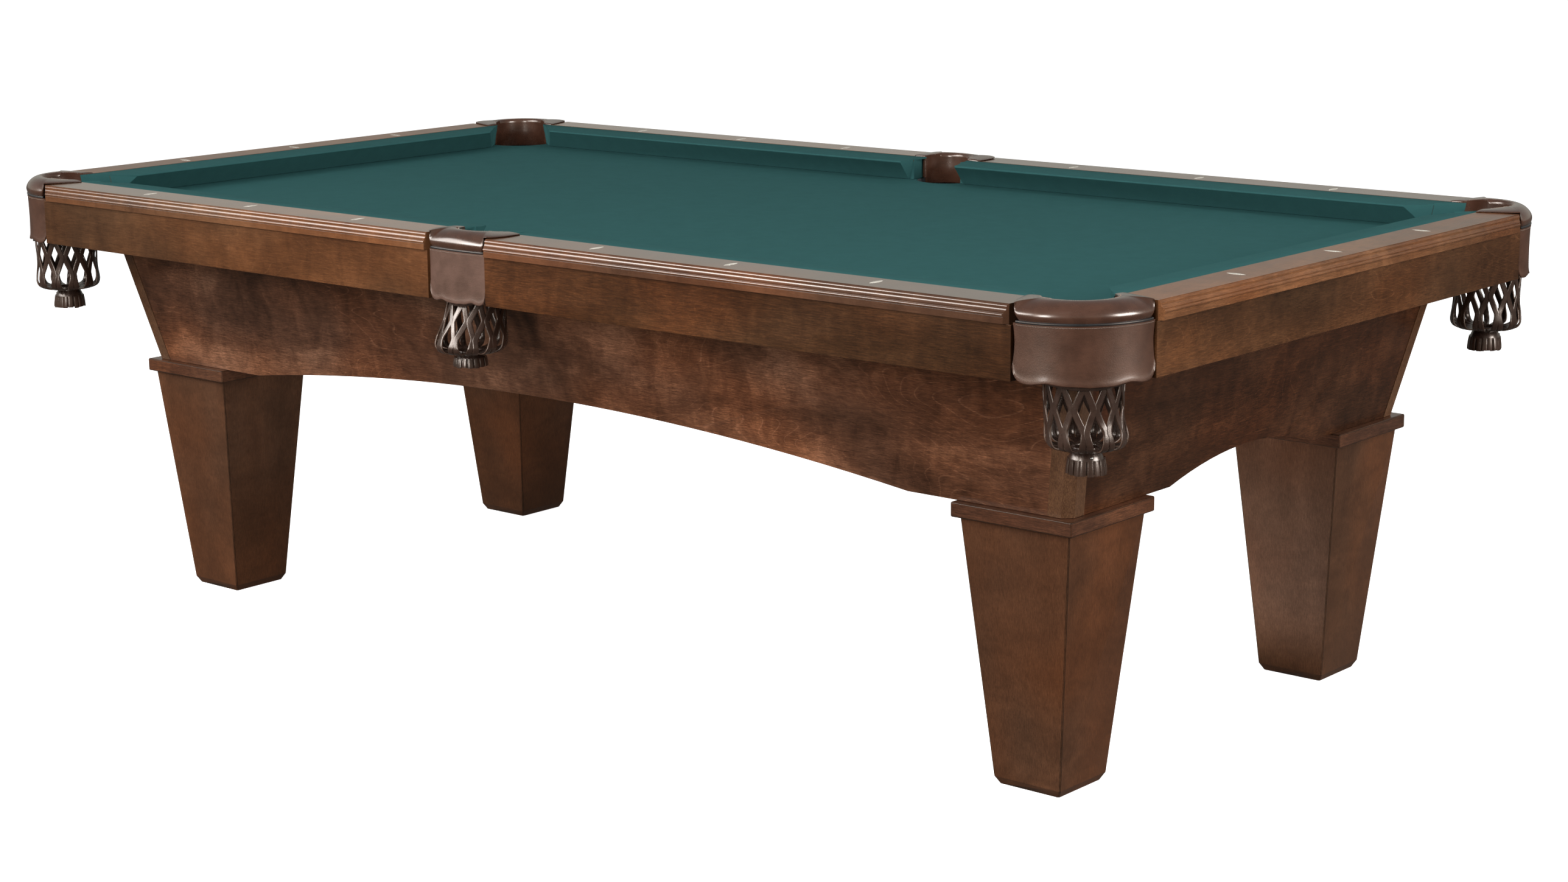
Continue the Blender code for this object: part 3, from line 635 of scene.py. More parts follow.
def bed_cloth():
    """One thin sheet over the slates, cut round the pockets, with its upper edges rounded."""
    quarter = corner_cut()
    outline = quarter + side_cut() + [(-x, y) for x, y in quarter[::-1]]
    outline += [(-x, -y) for x, y in outline]
    top = SLATE_TOP + GAP + CLOTH_THICKNESS
    bottom = SLATE_TOP + GAP
    bm = loft([[(x, y, level) for x, y in outline] for level in (bottom, top)])
    edges = [edge for edge in bm.edges if all(vert.co.z > (bottom + top) / 2 for vert in edge.verts)]
    bmesh.ops.bevel(bm, geom=edges, offset=0.0004, segments=2, affect="EDGES")
    cloth = add_piece("bed_cloth_sheet", bm, CLOTH, 30, replaced=("bed_cloth",))


# ---------------- rails and cushions

UPPER_BEAD = 0.0042
COVE = 0.0064
LOWER_BEAD = 0.0030
# The rail's height under the cushion's cloth, at the rail's inner side and at the cloth's edge.
REBATE_INNER = RAIL_TOP - 0.0045
REBATE_OUTER = RAIL_TOP - 0.0035
NOSE_RADIUS = 0.0022
CROWN_RADIUS = 0.0012
LAP_TOP = RAIL_TOP - 0.006


def rail_section():
    """A rail's section as (depth, height): flat top, sunk line, two beads with a cove, and a plain face."""
    upper_bead = arc((FLAT_EDGE - 0.0014, RAIL_TOP - 0.0048), UPPER_BEAD, 78, 0, 12)
    cove = arc((MOULDING_FACE + 0.0016, RAIL_TOP - 0.0064), COVE, 180, 240, 9)
    lower_bead = arc((MOULDING_FACE - LOWER_BEAD, RAIL_TOP - 0.0165), LOWER_BEAD, 75, -60, 12)
    face = MOULDING_FACE - 0.0010
    section = [(CUSHION_BACK, RAIL_BOTTOM), (CUSHION_BACK, REBATE_INNER)]
    section += [(CLOTH_EDGE, REBATE_OUTER), (CLOTH_EDGE, RAIL_TOP)]
    section += [(FLAT_EDGE, RAIL_TOP), (FLAT_EDGE, RAIL_TOP - 0.0007)]
    section += upper_bead + cove + lower_bead
    section += [(face, RAIL_TOP - 0.0196), (face, MOULDING_BOTTOM)]
    return section + [(RAIL_STEP, MOULDING_BOTTOM), (RAIL_STEP, RAIL_BOTTOM)]


def cushion_section():
    """A cushion's section: rounded nose, raised top, and the cloth drawn back over the rail to its edge."""
    nose = arc((NOSE_RADIUS, NOSE_HEIGHT), NOSE_RADIUS, 250, 96, 10)
    back = CUSHION_BACK - GAP
    edge = CLOTH_EDGE - GAP
    crown = arc((edge - CROWN_RADIUS, RAIL_TOP - GAP - CROWN_RADIUS), CROWN_RADIUS, 90, 0, 4)
    section = [(back, RAIL_BOTTOM), (back - 0.004, RAIL_BOTTOM)] + nose
    section += [(0.016, RAIL_TOP - 0.0034), (back, RAIL_TOP - 0.0016)] + crown
    return section + [(edge, REBATE_OUTER + GAP), (back, REBATE_INNER + GAP)]


def cut_to_pockets(section, half, with_side_pocket, setback):
    start = 0.0 if with_side_pocket else -half
    bm = loft([[(along, depth, height) for depth, height in section] for along in (start, half)])
    facing = half - CORNER_MOUTH - setback - FACING_UNDERCUT * RAIL_TOP
    corner_ends = (1,) if with_side_pocket else (1, -1)
    for end in corner_ends:
        keep_below(bm, (end, -CORNER_FACING_RUN, -FACING_UNDERCUT), facing)
    return bm, corner_ends


def side_rail_end(depth):
    """How far from the side pocket's middle a side rail ends, at a depth."""
    inner = SIDE_MOUTH - SIDE_FACING_RUN * CUSHION_BACK
    return inner + (SIDE_RAIL_END - inner) * (depth - CUSHION_BACK) / (MOULDING_FACE - CUSHION_BACK)


def rail(name, half, with_side_pocket, finish, place):
    bm, corner_ends = cut_to_pockets(rail_section(), half, with_side_pocket, GAP)
    for end in corner_ends:
        keep_below(bm, (end, 0, 0), half - CORNER_RAIL_END)
        keep_below(bm, (end, 1, 0), half - CORNER_RAIL_END + FLAT_EDGE)
    if with_side_pocket:
        run = side_rail_end(1.0) - side_rail_end(0.0)
        keep_below(bm, (-1, run, 0), -side_rail_end(0.0))
    add_piece(f"rail_wood_{name}", placed(bm, place), finish, 32, replaced=(f"rail_{name}",))


def facing_plate(bm, along_at, outwards):
    """The cloth over a rail's end inside a pocket. along_at gives the end's place by (depth, height)."""
    low, high = RAIL_BOTTOM, RAIL_TOP - GAP
    corners = ((CUSHION_BACK, low), (CUSHION_BACK, high), (FACING_CLOTH_END, high), (FACING_CLOTH_END, low))
    lifts = (0.0, outwards * FACING_CLOTH)
    skin(bm, [[(along_at(*corner) + lift, *corner) for corner in corners] for lift in lifts])


def cloth_lap(bm):
    """The cloth's turn round the edge of a side rail's end, on the face below the cushion."""
    start = side_rail_end(CUSHION_BACK)
    end = start + FACING_LAP
    front = CUSHION_BACK - FACING_CLOTH
    corners = ((start, front), (start, CUSHION_BACK), (end, CUSHION_BACK), (end, front))
    skin(bm, [[(*corner, height) for corner in corners] for height in (RAIL_BOTTOM, LAP_TOP)])


def cushion(name, half, with_side_pocket, place):
    bm, corner_ends = cut_to_pockets(cushion_section(), half, with_side_pocket, 0.0)
    if with_side_pocket:
        limit = -SIDE_MOUTH - FACING_UNDERCUT * RAIL_TOP
        keep_below(bm, (-1, -SIDE_FACING_RUN, -FACING_UNDERCUT), limit)
    sharp = [edge for edge in bm.edges if edge.is_manifold and edge.calc_face_angle() > radians(50)]
    bmesh.ops.bevel(bm, geom=sharp, offset=0.0006, segments=2, affect="EDGES", clamp_overlap=True)
    for end in corner_ends:

        def corner_end(depth, height, end=end):
            undercut = FACING_UNDERCUT * (RAIL_TOP - height)
            return end * (half - CORNER_MOUTH + CORNER_FACING_RUN * depth - undercut)

        facing_plate(bm, corner_end, end)
    if with_side_pocket:
        facing_plate(bm, lambda depth, height: side_rail_end(depth), -1)
        cloth_lap(bm)
    replaced = (f"cushion_{name}",)
    made = add_piece(f"cushion_cloth_{name}", placed(bm, place), CLOTH, 40, replaced=replaced)


def sight(name, at, lengthwise):
    """A pearl sight, pointed at both ends, let into the rail's flat top and pointing across the rail."""
    outline = []
    for edge in (1, -1):
        for i in range(SIGHT_STEPS):
            share = edge * (1 - 2 * i / SIGHT_STEPS)
            outline.append((share * SIGHT_LENGTH / 2, edge * SIGHT_WIDTH / 2 * (1 - share**2)))
    if lengthwise:
        outline = [(along, across) for across, along in outline]
    rings = []
    for size, lift in ((1.0, -SIGHT_SINK), (1.0, SIGHT_PROUD / 2), (SIGHT_TOP, SIGHT_PROUD)):
        rings.append([(at[0] + size * x, at[1] + size * y, RAIL_TOP + lift) for x, y in outline])
    add_piece(name, loft(rings), PEARL, 30)


def rails():
    for end_name, end in ENDS.items():
        for side_name, side in SIDES.items():

            def place(x, y, z, end=end, side=side):
                return (end * x, side * (HALF_WIDTH + y), z)

            name = f"{side_name}_{end_name}"
            # Head and foot rails take stains whose difference is partly the wood's own tone and partly
            # painted light and shade.
            rail(name, HALF_LENGTH, True, RAIL_X if end_name == "head" else RAIL_X_PALE, place)
            cushion(name, HALF_LENGTH, True, place)
            for i in (1, 2, 3):
                at = (end * i * SIGHT_SPACING, side * (HALF_WIDTH + SIGHT_DEPTH))
                sight(f"sight_{name}_{i}", at, True)

        def place_end(x, y, z, end=end):
            return (end * (HALF_LENGTH + y), x, z)

        rail(end_name, HALF_WIDTH, False, RAIL_Y, place_end)
        cushion(end_name, HALF_WIDTH, False, place_end)
        for i in (-1, 0, 1):
            at = (end * (HALF_LENGTH + SIGHT_DEPTH), i * SIGHT_SPACING)
            sight(f"sight_{end_name}_{i + 2}", at, False)


# ---------------- pocket collars


def from_diagonal(across, out):
    return ((out - across) / sqrt(2), (out + across) / sqrt(2))


def on_corner_arc(turn, middle, radius):
    """A point on an arc round a middle on the corner's diagonal, its turn measured from the diagonal."""
    turn = radians(turn)
    return from_diagonal(radius * sin(turn), middle + radius * cos(turn))


def corner_hole_point(turn):
    return on_corner_arc(turn, CORNER_HOLE, CORNER_HOLE_RADIUS)


def corner_front_point(turn):
    return on_corner_arc(turn, CORNER_ARC, CORNER_COLLAR_RADIUS)


def side_hole_point(turn):
    turn = radians(turn)
    return (SIDE_HOLE_RADIUS * sin(turn), SIDE_HOLE + SIDE_HOLE_RADIUS * cos(turn))


def side_front_point(turn):
    share = turn / SIDE_HOLE_TURN
    return (SIDE_COLLAR_HALF * share, SIDE_COLLAR_OUT - SIDE_FRONT_BOW * share**2)


def swap(point):
    return (point[1], point[0])


def flip(point):
    return (-point[0], point[1])


# The roll's outline as (share of its width, share of its height below the top), from the inside outwards.
ROLL_OUTLINE = (
    (0.000, 0.34),
    (0.000, 0.22),
    (0.030, 0.10),
    (0.100, 0.025),
    (0.220, 0.00),
    (0.420, 0.03),
    (0.620, 0.12),
    (0.800, 0.27),
    (0.930, 0.45),
    (0.995, 0.64),
    (0.985, 0.82),
    (0.920, 1.00),
)


def roll_section(row):
    """The ring round a collar at one row: liner, crest near the inner edge, bulging front, tucked base."""
    inner = Vector(row[0:2])
    outer = Vector(row[2:4])
    base, top = row[4:6]
    top -= COLLAR_SINK
    width = (outer - inner).length
    across = (outer - inner) / width
    profile = [(0.0009, LINER_BOTTOM), (0.0, LINER_BOTTOM + 0.001)]
    profile += [(0.0, RAIL_TOP - 0.020), (0.0, RAIL_TOP - 0.012)]
    for share, fall in spline(ROLL_OUTLINE, 3):
        height = top - (top - base) * fall
        profile.append((width * share, max(height, RAIL_TOP - 0.009) if share < 0.02 else height))
    profile += [(width * 0.6, base), (LINER_THICKNESS + 0.002, base), (LINER_THICKNESS, base - 0.002)]
    profile += [(LINER_THICKNESS, LINER_BOTTOM + 0.001), (LINER_THICKNESS - 0.001, LINER_BOTTOM)]
    return [(*(inner + across * distance), height) for distance, height in profile]


def half_collar(horn, hole_point, front_point, end_turns):
    """Rows of a half collar from the horn's tip to the pocket's middle: a thin horn, then a round-ended
    roll. A row is the inner point, the outer point, the base's height and the top's height."""
    rise = (COLLAR_TOP - HORN_TOP) / len(horn)
    on_rail = RAIL_TOP + GAP
    rows = []
    for i, (turn, outer) in enumerate(horn):
        rows.append([*hole_point(turn), *outer, on_rail, HORN_TOP + rise * i])

    def roll_row(share):
        """A row of the roll at a share of its half turn, thinner where the roll's end is rounded."""
        inward = min(1.0, (1 - share) / ROLL_END_SHARE)
        rounding = sqrt(1 - (1 - inward) ** 2)
        base = ROLL_MIDDLE + (COLLAR_BOTTOM - ROLL_MIDDLE) * rounding
        inner = Vector(hole_point(end_turns[0] * share))
        outer = Vector(front_point(end_turns[1] * share))
        outer -= (outer - inner).normalized() * ROLL_END_SHRINK * (1 - rounding)
        return [*inner, *outer, base, COLLAR_TOP]

    end_row = roll_row(1.0)
    rows.append([*end_row[0:4], on_rail, COLLAR_TOP])
    rows = spline(rows, 5)
    steps = 40
    return rows + [roll_row(1 - i / steps) for i in range(steps + 1)]


def rounded_tip(first, second):
    """Rings that round off a horn's tip, from its end ring and the one behind it."""
    middle = sum((Vector(point) for point in first), Vector()) / len(first)
    behind = sum((Vector(point) for point in second), Vector()) / len(second)
    ahead = (middle - behind).normalized() * 0.004
    rings = []
    for angle in (80, 60, 40, 20):
        size = 1 - 0.35 * (1 - cos(radians(angle)))
        shift = ahead * sin(radians(angle))
        ring = [middle + (Vector(point) - middle) * size + shift for point in first]
        rings.append([(point.x, point.y, max(point.z, RAIL_BOTTOM + GAP)) for point in ring])
    return rings


def across_row(row):
    """A row's inner and outer points."""
    return Vector(row[0:2]), Vector(row[2:4])


def collar(name, rows, mirror, place):
    other = [[*mirror(row[0:2]), *mirror(row[2:4]), *row[4:6]] for row in rows[-2::-1]]
    rows = rows + other
    rings = [roll_section(row) for row in rows]
    rings = rounded_tip(rings[0], rings[1]) + rings + rounded_tip(rings[-1], rings[-2])[::-1]
    shape = placed(loft(rings), place)
    replaced = (f"pocket_collar_{name}",)
    made = add_piece(f"collar_leather_{name}", shape, ROLL_LEATHER, 60, replaced=replaced)
    collar_welt(name, rows, place)
    collar_seam(name, rows, place)


def collar_welt(name, rows, place):
    """A dark cord sewn in where the roll's base meets the shield."""
    path = []
    for row in rows:
        if row[4] < COLLAR_BOTTOM + WELT_REACH:
            inner, outer = across_row(row)
            spot = outer - (outer - inner).normalized() * WELT_SETBACK
            path.append(place(*spot, COLLAR_BOTTOM - WELT_DROP))
    bm = bmesh.new()
    sweep(bm, path, WELT_RADIUS, 10)
    add_piece(f"collar_welt_{name}", bm, WELT_LEATHER, 60)


def collar_seam(name, rows, place):
    """The stitch row along the roll's crest, just outside its inner edge."""
    path = []
    for row in rows[SEAM_START:-SEAM_START]:
        inner, outer = across_row(row)
        spot = inner + (outer - inner) * SEAM_SHARE
        top = row[5] - COLLAR_SINK
        path.append(place(*spot, top - 0.02 * (top - row[4]) + 0.0001))
    bm = bmesh.new()
    stitches(bm, path, pitch=0.0030, length=0.0023, radius=0.00038)
    add_piece(f"collar_stitches_{name}", bm, THREAD, 60)


# ---------------- pocket shields

# The wavy lower edge of a shield as (share of its half width, rise).
SHIELD_EDGE = (
    (0.00, 0.0004),
    (0.15, 0.0016),
    (0.30, 0.0026),
    (0.42, 0.0046),
    (0.53, 0.0062),
    (0.63, 0.0048),
    (0.74, 0.0026),
    (0.84, 0.0030),
    (0.92, 0.0058),
    (1.00, 0.0110),
)
SHIELD_EDGE_FINE = tuple(spline(SHIELD_EDGE, 6))


def shield_rise(share):
    share = abs(share)
    for (low, first), (high, second) in zip(SHIELD_EDGE_FINE, SHIELD_EDGE_FINE[1:]):
        if share <= high:
            return first + (second - first) * (share - low) / (high - low)
    return SHIELD_EDGE[-1][1]


def corner_shield_point(share, setback):
    return on_corner_arc(CORNER_SHIELD_TURN * share, CORNER_ARC, CORNER_SHIELD_RADIUS - setback)


def side_shield_point(share, setback):
    return (SIDE_SHIELD_HALF * share, SIDE_SHIELD_OUT - setback - SIDE_FRONT_BOW * share**2)


def leather_plate(columns, levels, outside_at):
    """A closed plate of leather with a rounded lower edge. outside_at gives its shape by (share, down) as
    (share, setback, height), with down going from 0 at the top to 1 at the lower edge."""
    rings = []
    for i in range(columns + 1):
        evenly = 2 * i / columns - 1
        share = 0.6 * sin(radians(90 * evenly)) + 0.4 * evenly
        column = [outside_at(share, k / levels) for k in range(levels + 1)]
        outer = [(at, setback, z) for at, setback, z in column]
        inner = [(at, setback + SHIELD_THICKNESS, z) for at, setback, z in column]
        at, setback, low = column[-1]
        turns = [radians(180 * k / 6) for k in range(1, 6)]
        half = SHIELD_THICKNESS / 2
        tip = [(at, setback + half - half * cos(turn), low - half * sin(turn)) for turn in turns]
        rings.append(outer + tip + inner[::-1])
    return rings


def shield_plate(name, finish, columns, levels, outside_at, point_at, place, replaced=()):
    rings = leather_plate(columns, levels, outside_at)
    rings = [[(*point_at(share, setback), z) for share, setback, z in ring] for ring in rings]
    add_piece(name, placed(loft(rings), place), finish, 50, replaced=replaced)


def shield(name, point_at, wave, finish, place, seed):
    """A bent leather plate, waisted, with a wavy lower edge that turns outwards, on a longer backing.
    wave is how strong the waist and the plate's belly are."""
    phase = Random(seed).uniform(0, 2 * pi)
    top = COLLAR_BOTTOM - WELT_RADIUS

    def front_at(share, down):
        beyond = max(0.0, (abs(share) - 0.90) / 0.10)
        corner = SHIELD_CORNER * (1 - sqrt(max(0.0, 1 - beyond**2)))
        low = SHIELD_BOTTOM + SHIELD_EDGE_LIFT + shield_rise(share) + corner
        low += 0.0006 * sin(7 * share + phase)
        waist = SHIELD_WIDENING - SHIELD_WAIST * sin(pi * min(1.0, 1.1 * down)) * wave
        turned_out = SHIELD_TURN_OUT * max(0.0, (down - 0.86) / 0.14) ** 2
        belly = 0.0010 * sin(pi * down) + 0.0005 * sin(3 * share + phase) * down
        return (share * waist, belly * wave - turned_out - 0.0004, top + (low - top) * down)

    def backing_at(share, down):
        high = SHIELD_BOTTOM + SHIELD_BACKING_TOP
        low = SHIELD_BOTTOM + 0.0018 + SHIELD_BACKING_RISE * share**2 + 0.0004 * sin(11 * share + phase)
        setback = SHIELD_THICKNESS + 0.0012 - 0.0008 * down
        return (SHIELD_BACKING_WIDTH * share, setback, high + (low - high) * down)

    replaced = (f"pocket_shield_{name}",)
    shield_plate(f"shield_leather_{name}", finish, 72, 18, front_at, point_at, place, replaced)
    shield_plate(f"shield_backing_{name}", STRAP_LEATHER, 40, 6, backing_at, point_at, place)
    path = []
    for i in range(1, 60):
        share = SHIELD_WIDENING * (2 * i / 60 - 1)
        path.append(place(*point_at(share, -SHIELD_SEAM_PROUD), top - SHIELD_SEAM_DROP))
    bm = bmesh.new()
    stitches(bm, path, pitch=0.0024, length=0.0019, radius=0.00036, slant=0.45)
    add_piece(f"shield_stitches_{name}", bm, THREAD, 60)


# ---------------- pocket baskets

# The lower end of a basket's outside as (height, radius), where its straps curl in to the neck.
BASKET_CURL = (
    (0.5975, 0.0555),
    (0.5940, 0.0480),
    (0.5925, 0.0360),
    (0.5915, 0.0220),
)
CORNER_BASKET_PROFILE = (
    (0.7465, 0.0552),
    (0.7320, 0.0561),
    (0.7050, 0.0574),
    (0.6800, 0.0573),
    (0.6550, 0.0565),
    (0.6380, 0.0562),
    (0.6250, 0.0576),
    (0.6120, 0.0591),
    (0.6040, 0.0588),
    *BASKET_CURL,
)
# The side baskets are narrower behind their shields.
SIDE_BASKET_PROFILE = (
    (0.7465, 0.0530),
    (0.7320, 0.0517),
    (0.7050, 0.0495),
    (0.6800, 0.0495),
    (0.6550, 0.0520),
    (0.6380, 0.0550),
    (0.6250, 0.0578),
    (0.6120, 0.0596),
    (0.6040, 0.0592),
    *BASKET_CURL,
)

# Which of the strap section's edges are the leather's cut edges.
CUT_EDGES = (5, 9)

# How far a strap leans towards one neighbour (1) or the other (-1), by height. At 1 and -1 straps meet.
STRAP_LEAN = (
    (0.7600, 0.68),
    (0.7495, 1.0),
    (0.7180, -1.0),
    (0.6865, 1.0),
    (0.6550, -1.0),
    (0.6235, 1.0),
    (0.6020, 0.42),
    (0.5900, 0.30),
)


def strap_lean(height):
    """The lean at a height, with the zigzag's corners rounded and a short run where straps lie together."""
    near = [level_of(STRAP_LEAN, height + shift) for shift in (-0.0034, -0.0012, 0.0012, 0.0034)]
    return max(-1.0, min(1.0, 1.12 * sum(near) / len(near)))


def ribbon(bm, frames, widths, thickness, crown=1.08):
    """A strap with rounded edges along frames of (point, across, out), its cut edges in the second finish.
    crown is how much thicker it is in the middle than near its edges."""
    deep = thickness / 2
    soft = deep * 0.45
    swell = deep * (1 + 0.75 * (crown - 1))
    rings = []
    for (point, across, out), width in zip(frames, widths):
        half = width / 2
        section = [(soft - half, deep), (-half / 2, swell), (0, deep * crown), (half / 2, swell)]
        section += [(half - soft, deep), (half, deep - soft), (half, soft - deep), (half - soft, -deep)]
        section += [(soft - half, -deep), (-half, soft - deep), (-half, deep - soft)]
        rings.append([point + across * x + out * y for x, y in section])
    for i, face in enumerate(skin(bm, rings)):
        face.material_index = 1 if i % len(section) in CUT_EDGES else 0


def frames_along(points, axis_at):
    """Frames for a strap round an upright axis: each point with its directions across and outwards."""
    frames = []
    for i, point in enumerate(points):
        ahead = (points[min(i + 1, len(points) - 1)] - points[max(i - 1, 0)]).normalized()
        middle = axis_at(point.z)
        away = Vector((point.x - middle[0], point.y - middle[1], 0.0)).normalized()
        around = Vector((-away.y, away.x, 0.0))
        out = ahead.cross(around)
        if out.dot(away) < 0 and out.z > -0.5:
            out = -out
        out.normalize()
        across = out.cross(ahead).normalized()
        frames.append((point, across, out))
    return frames


def basket(name, outline, centre_at, length, fringe_length, first_turn, place, seed):
    """An open net of straps that lean on one neighbour and then the other, with a neck and a fringe."""
    random = Random(seed)

    def level(height):
        return height if height > SHIELD_BOTTOM else SHIELD_BOTTOM - (SHIELD_BOTTOM - height) * length

    basket_straps(name, outline, centre_at, level, radians(first_turn), place, random)
    middle = centre_at(level(NECK_TOP))
    basket_neck(name, middle, level(NECK_TOP), place)
    basket_fringe(name, middle, level(NECK_TOP), fringe_length, place, random)


def basket_straps(name, outline, centre_at, level, first_turn, place, random):
    straps = 2 * STRAP_COLUMNS
    turn_step = 2 * pi / straps
    bm = bmesh.new()
    for i in range(straps):
        sway = random.uniform(-STRAP_WANDER, STRAP_WANDER)
        bulge = random.uniform(-STRAP_WANDER, STRAP_WANDER)
        side = 1 if i % 2 else -1
        points = []
        widths = []
        for height, radius in spline(outline, 6):
            reach = max(0.0, (turn_step * radius - STRAP_OVERLAP * STRAP_WIDTH) / 2)
            turn = first_turn + turn_step * i + (sway - side * reach * strap_lean(height)) / radius
            ring_radius = radius - STRAP_THICKNESS / 2 + bulge * sin(40 * height)
            ring_radius -= STRAP_LAYER if i % 2 else 0.0
            middle = centre_at(level(height))
            spot = (middle[0] + ring_radius * cos(turn), middle[1] + ring_radius * sin(turn), level(height))
            points.append(Vector(spot))
            widths.append(min(STRAP_WIDTH, 0.92 * turn_step * radius))
        ribbon(bm, frames_along(points, centre_at), widths, STRAP_THICKNESS)
    replaced = (f"pocket_basket_{name}",)
    add_piece(f"basket_straps_{name}", placed(bm, place), STRAP_FINISH, 50, replaced=replaced)


# The neck's section as (radius, height below its top): a rolled ring, a pinch, and the shoulder of a bell.
NECK_SECTION = (
    (0.0170, 0.0030),
    (0.0172, 0.0002),
    (0.0190, -0.0012),
    (0.0210, -0.0002),
    (0.0214, 0.0022),
    (0.0206, 0.0046),
    (0.0212, 0.0070),
    (0.0228, 0.0102),
    (0.0244, 0.0140),
    (0.0256, 0.0178),
    (0.0255, 0.0190),
    (0.0236, 0.0188),
    (0.0198, 0.0096),
)


def basket_neck(name, middle, top, place):
    """The rolled ring that gathers the straps, and the bell's shoulder below it."""
    along, across = Vector((1, 0, 0)), Vector((0, 1, 0))
    rings = []
    for radius, below in spline(NECK_SECTION + NECK_SECTION[:1], 3)[:-1]:
        rings.append(circle(Vector((*middle, top - below)), along, across, radius, 64))
    bm = loft(rings + rings[:1], caps=False)
    bmesh.ops.remove_doubles(bm, verts=bm.verts, dist=WELD_DISTANCE)
    add_piece(f"basket_neck_{name}", placed(bm, place), STRAP_LEATHER, 60)


def basket_fringe(name, middle, top, length, place, random):
    """Strips cut into the lower edge of the bell, over a second row that shows through the cuts."""
    bm = bmesh.new()
    for layer in (0, 1):
        for i in range(FRINGE_STRIPS):
            turn = 2 * pi * (i + 0.5 * layer) / FRINGE_STRIPS + random.uniform(-0.035, 0.035)
            flare = random.uniform(-0.0010, 0.0010)
            drop = length * random.uniform(0.93, 1.0)
            points = []
            widths = []
            for k in range(FRINGE_LEVELS):
                spread = k / (FRINGE_LEVELS - 1)
                down = FRINGE_START + (1 - FRINGE_START) * spread
                bell = BELL_RADIUS + BELL_FLARE * sin(radians(90 * spread)) + flare * spread
                radius = bell - layer * FRINGE_LAYER
                spot = (middle[0] + radius * cos(turn), middle[1] + radius * sin(turn))
                points.append(Vector((*spot, top - drop * down)))
                cut = min(1.0, spread / 0.12)
                widths.append(2 * pi * bell / FRINGE_STRIPS * (1.0 - FRINGE_CUT * cut))
            ribbon(bm, frames_along(points, lambda z: middle), widths, FRINGE_THICKNESS, crown=1.5)
    add_piece(f"basket_fringe_{name}", placed(bm, place), STRAP_FINISH, 50)


def side_basket_centre(height):
    below = min(max(SHIELD_BOTTOM - height, 0.0), SIDE_BASKET_LEAN_DROP)
    aside = SIDE_BASKET_SWAY * min(1.0, max(0.0, (RAIL_BOTTOM - height) / (RAIL_BOTTOM - SHIELD_BOTTOM)))
    return (aside, SIDE_BASKET + SIDE_BASKET_LEAN * below)


def dome(name, centre, out, radius, height):
    """A round rivet or screw head: a low dome that stands out of a surface."""
    out = Vector(out).normalized()
    first = out.orthogonal().normalized()
    second = out.cross(first)
    rings = []
    for i in range(7):
        turn = radians(90 * i / 6)
        size = max(radius * cos(turn), radius * 0.05)
        rings.append(circle(Vector(centre) + out * height * sin(turn), first, second, size, 20))
    add_piece(name, loft(rings), STEEL, 50)


def pockets():
    corner_turns = (CORNER_HOLE_TURN, CORNER_COLLAR_TURN)
    side_turns = (SIDE_HOLE_TURN, SIDE_HOLE_TURN)
    corner_rows = half_collar(CORNER_HORN, corner_hole_point, corner_front_point, corner_turns)
    side_rows = half_collar(SIDE_HORN, side_hole_point, side_front_point, side_turns)
    seed = 1
    for side_name, side in SIDES.items():
        for end_name, end in ENDS.items():

            def place(x, y, z, end=end, side=side):
                return (end * (HALF_LENGTH + x), side * (HALF_WIDTH + y), z)

            name = f"{end_name}_{side_name}"
            collar(name, corner_rows, swap, place)
            shield(name, corner_shield_point, 1.0, LEATHER, place, seed)
            sway = NEAR_BASKET_SWAY if name == NEAR_BASKET else (0.0, 0.0)

            def centre_at(height, sway=sway):
                low = min(1.0, max(0.0, (NECK_SWAY_START - height) / NECK_SWAY_DROP))
                more = 1.0 + (NECK_SWAY - 1.0) * low**2 * (3 - 2 * low)
                return (CORNER_BASKET + more * sway[0], CORNER_BASKET + more * sway[1])

            fringe = NECK_TOP - FRINGE_BOTTOM
            basket(name, CORNER_BASKET_PROFILE, centre_at, 1.0, fringe, CORNER_FIRST_TURN, place, seed)
            out = Vector((RIVET_OUT[0] * end, RIVET_OUT[1] * side, 0))
            rivet = Vector(place(*centre_at(NECK_TOP), NECK_TOP - RIVET_DROP)) + out * RIVET_REACH
            dome(f"basket_rivet_{name}", rivet, out, *RIVET_SIZE)
            screw_out = Vector((POST_FACE[0] * end, POST_FACE[0] * side, POST_FACE[1]))
            dome(f"post_screw_{name}", place(*POST_SCREW), screw_out, *SCREW_SIZE)
            seed += 1

        def place_side(x, y, z, side=side):
            return (x, side * (HALF_WIDTH + y), z)

        collar(side_name, side_rows, flip, place_side)
        # The side shields take the leather that is paled with painted sheen.
        shield(side_name, side_shield_point, SIDE_SHIELD_WAVE, SHEEN_PAINTED_LEATHER, place_side, seed)
        lengths = (SIDE_BASKET_LENGTH, SIDE_FRINGE_LENGTH)
        basket(side_name, SIDE_BASKET_PROFILE, side_basket_centre, *lengths, 0.0, place_side, seed)
        seed += 1


# ---------------- floor, lights and camera

CAMERA_AT = (3.4216, -3.8961, 1.4626)
CAMERA_YAW = 0.7052
CAMERA_PITCH = -0.2130
CAMERA_ROLL = -0.0095
CAMERA_LENS = 66.66
FLOOR_HALF = 40.0
# The studio's brightness by level, where 0.5 is the horizon and 1 is straight up.
STUDIO_GLOW = (
    (0.49, (0.11, 0.10, 0.09)),
    (0.54, (0.44, 0.435, 0.39)),
    (0.62, (0.40, 0.39, 0.35)),
    (0.75, 0.24),
)


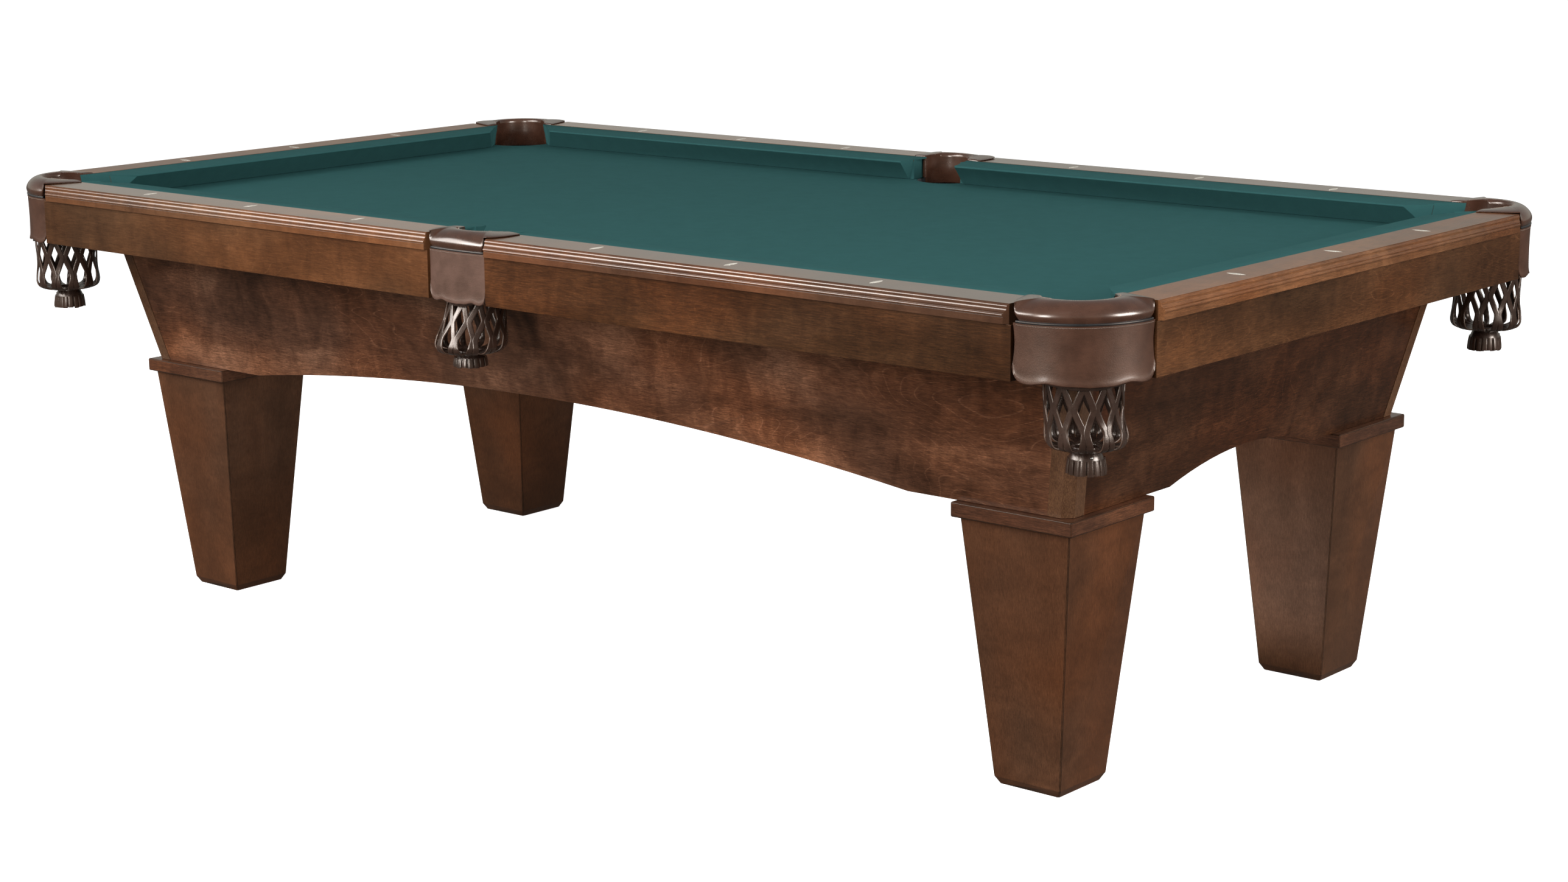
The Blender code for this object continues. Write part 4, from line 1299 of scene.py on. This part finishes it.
def add_floor():
    bm = bmesh.new()
    corners = [(FLOOR_HALF * x, FLOOR_HALF * y, 0.0) for x, y in ((-1, -1), (1, -1), (1, 1), (-1, 1))]
    bm.faces.new([bm.verts.new(corner) for corner in corners])
    mesh = bpy.data.meshes.new("floor")
    bm.to_mesh(mesh)
    bm.free()
    made, _, _ = start_material(
        "pale_floor", Base_Color=(0.8, 0.8, 0.8, 1.0), Roughness=1.0, Specular_IOR_Level=0.0,
        Emission_Color=(1.0, 1.0, 1.0, 1.0), Emission_Strength=0.93,
    )
    mesh.materials.append(made)
    floor = bpy.data.objects.new("floor", mesh)
    bpy.context.scene.collection.objects.link(floor)
    floor.visible_glossy = False
    floor.visible_diffuse = False
    floor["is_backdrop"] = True


def add_world():
    """A studio that is dark below the table's level, bright just above it and softer overhead."""
    world = bpy.data.worlds.new("studio")
    world.use_nodes = True
    tree = world.node_tree
    background = tree.nodes["Background"]
    direction = add_node(tree, "ShaderNodeTexCoord").outputs["Generated"]
    upwards = add_node(tree, "ShaderNodeSeparateXYZ", {"Vector": direction}).outputs["Z"]
    level = maths(tree, "MULTIPLY_ADD", upwards, 0.5, 0.5)
    tree.links.new(ramp(tree, level, STUDIO_GLOW), background.inputs["Color"])
    background.inputs["Strength"].default_value = 1.0
    bpy.context.scene.world = world


def add_softbox(name, at, aim, size, power, shine=True):
    """A soft light. Without shine it brightens surfaces but isn't mirrored in them."""
    data = bpy.data.lights.new(name, "AREA")
    data.shape = "RECTANGLE"
    data.size, data.size_y = size
    data.energy = power
    light = bpy.data.objects.new(name, data)
    light.visible_camera = False
    light.visible_glossy = shine
    light.location = at
    light.rotation_euler = (Vector(aim) - Vector(at)).to_track_quat("-Z", "Y").to_euler()
    bpy.context.scene.collection.objects.link(light)


def add_camera():
    data = bpy.data.cameras.new("camera")
    data.sensor_width = 36.0
    data.lens = CAMERA_LENS
    data.clip_end = 200.0
    camera = bpy.data.objects.new("camera", data)
    ahead = Vector((
        -sin(CAMERA_YAW) * cos(CAMERA_PITCH), cos(CAMERA_YAW) * cos(CAMERA_PITCH), sin(CAMERA_PITCH)
    ))
    level_right = Vector((cos(CAMERA_YAW), sin(CAMERA_YAW), 0.0))
    level_up = level_right.cross(ahead)
    right = level_right * cos(CAMERA_ROLL) + level_up * sin(CAMERA_ROLL)
    up = level_up * cos(CAMERA_ROLL) - level_right * sin(CAMERA_ROLL)
    turn = Matrix((right, up, -ahead)).transposed()
    camera.matrix_world = Matrix.Translation(CAMERA_AT) @ turn.to_4x4()
    bpy.context.scene.collection.objects.link(camera)
    bpy.context.scene.camera = camera


refinish_cabinet()
bed_cloth()
rails()
pockets()
add_floor()
add_world()
add_softbox("key", (2.0, -4.0, 4.4), (0.6, -0.5, 0.6), (2.4, 1.8), 195.0, shine=False)
add_softbox("key_end", (4.6, 1.0, 3.8), (1.0, 0.0, 0.6), (1.8, 1.8), 110.0, shine=False)
add_softbox("strip_left", (1.0, -4.4, 1.5), (1.1, -0.6, 0.7), (0.8, 1.4), 90.0)
add_softbox("strip_right", (4.6, 0.2, 1.6), (1.2, -0.5, 0.7), (1.9, 1.2), 160.0)
add_softbox("far_left", (-3.2, -3.4, 2.6), (0.0, -0.6, 0.7), (2.6, 2.0), 130.0)
add_softbox("front_left", (-1.5, -4.1, 2.3), (0.6, -0.7, 0.7), (2.6, 1.2), 120.0)
add_softbox("back_fill", (-1.5, 4.6, 3.0), (0.0, 0.6, 0.6), (3.0, 2.0), 60.0, shine=False)
add_softbox("low_fill", (0.2, -4.6, 0.9), (0.2, 0.0, 0.5), (4.0, 1.2), 12.0, shine=False)
add_softbox("under_table", (0.35, -0.05, 0.01), (0.35, -0.05, 1.0), (1.4, 0.5), 15.0, shine=False)
add_camera()
bpy.context.scene.view_settings.view_transform = "Standard"

boxes = {"cad": CAD_BOX, "visual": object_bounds()}
{key: [list(corner) for corner in box] for key, box in boxes.items()}
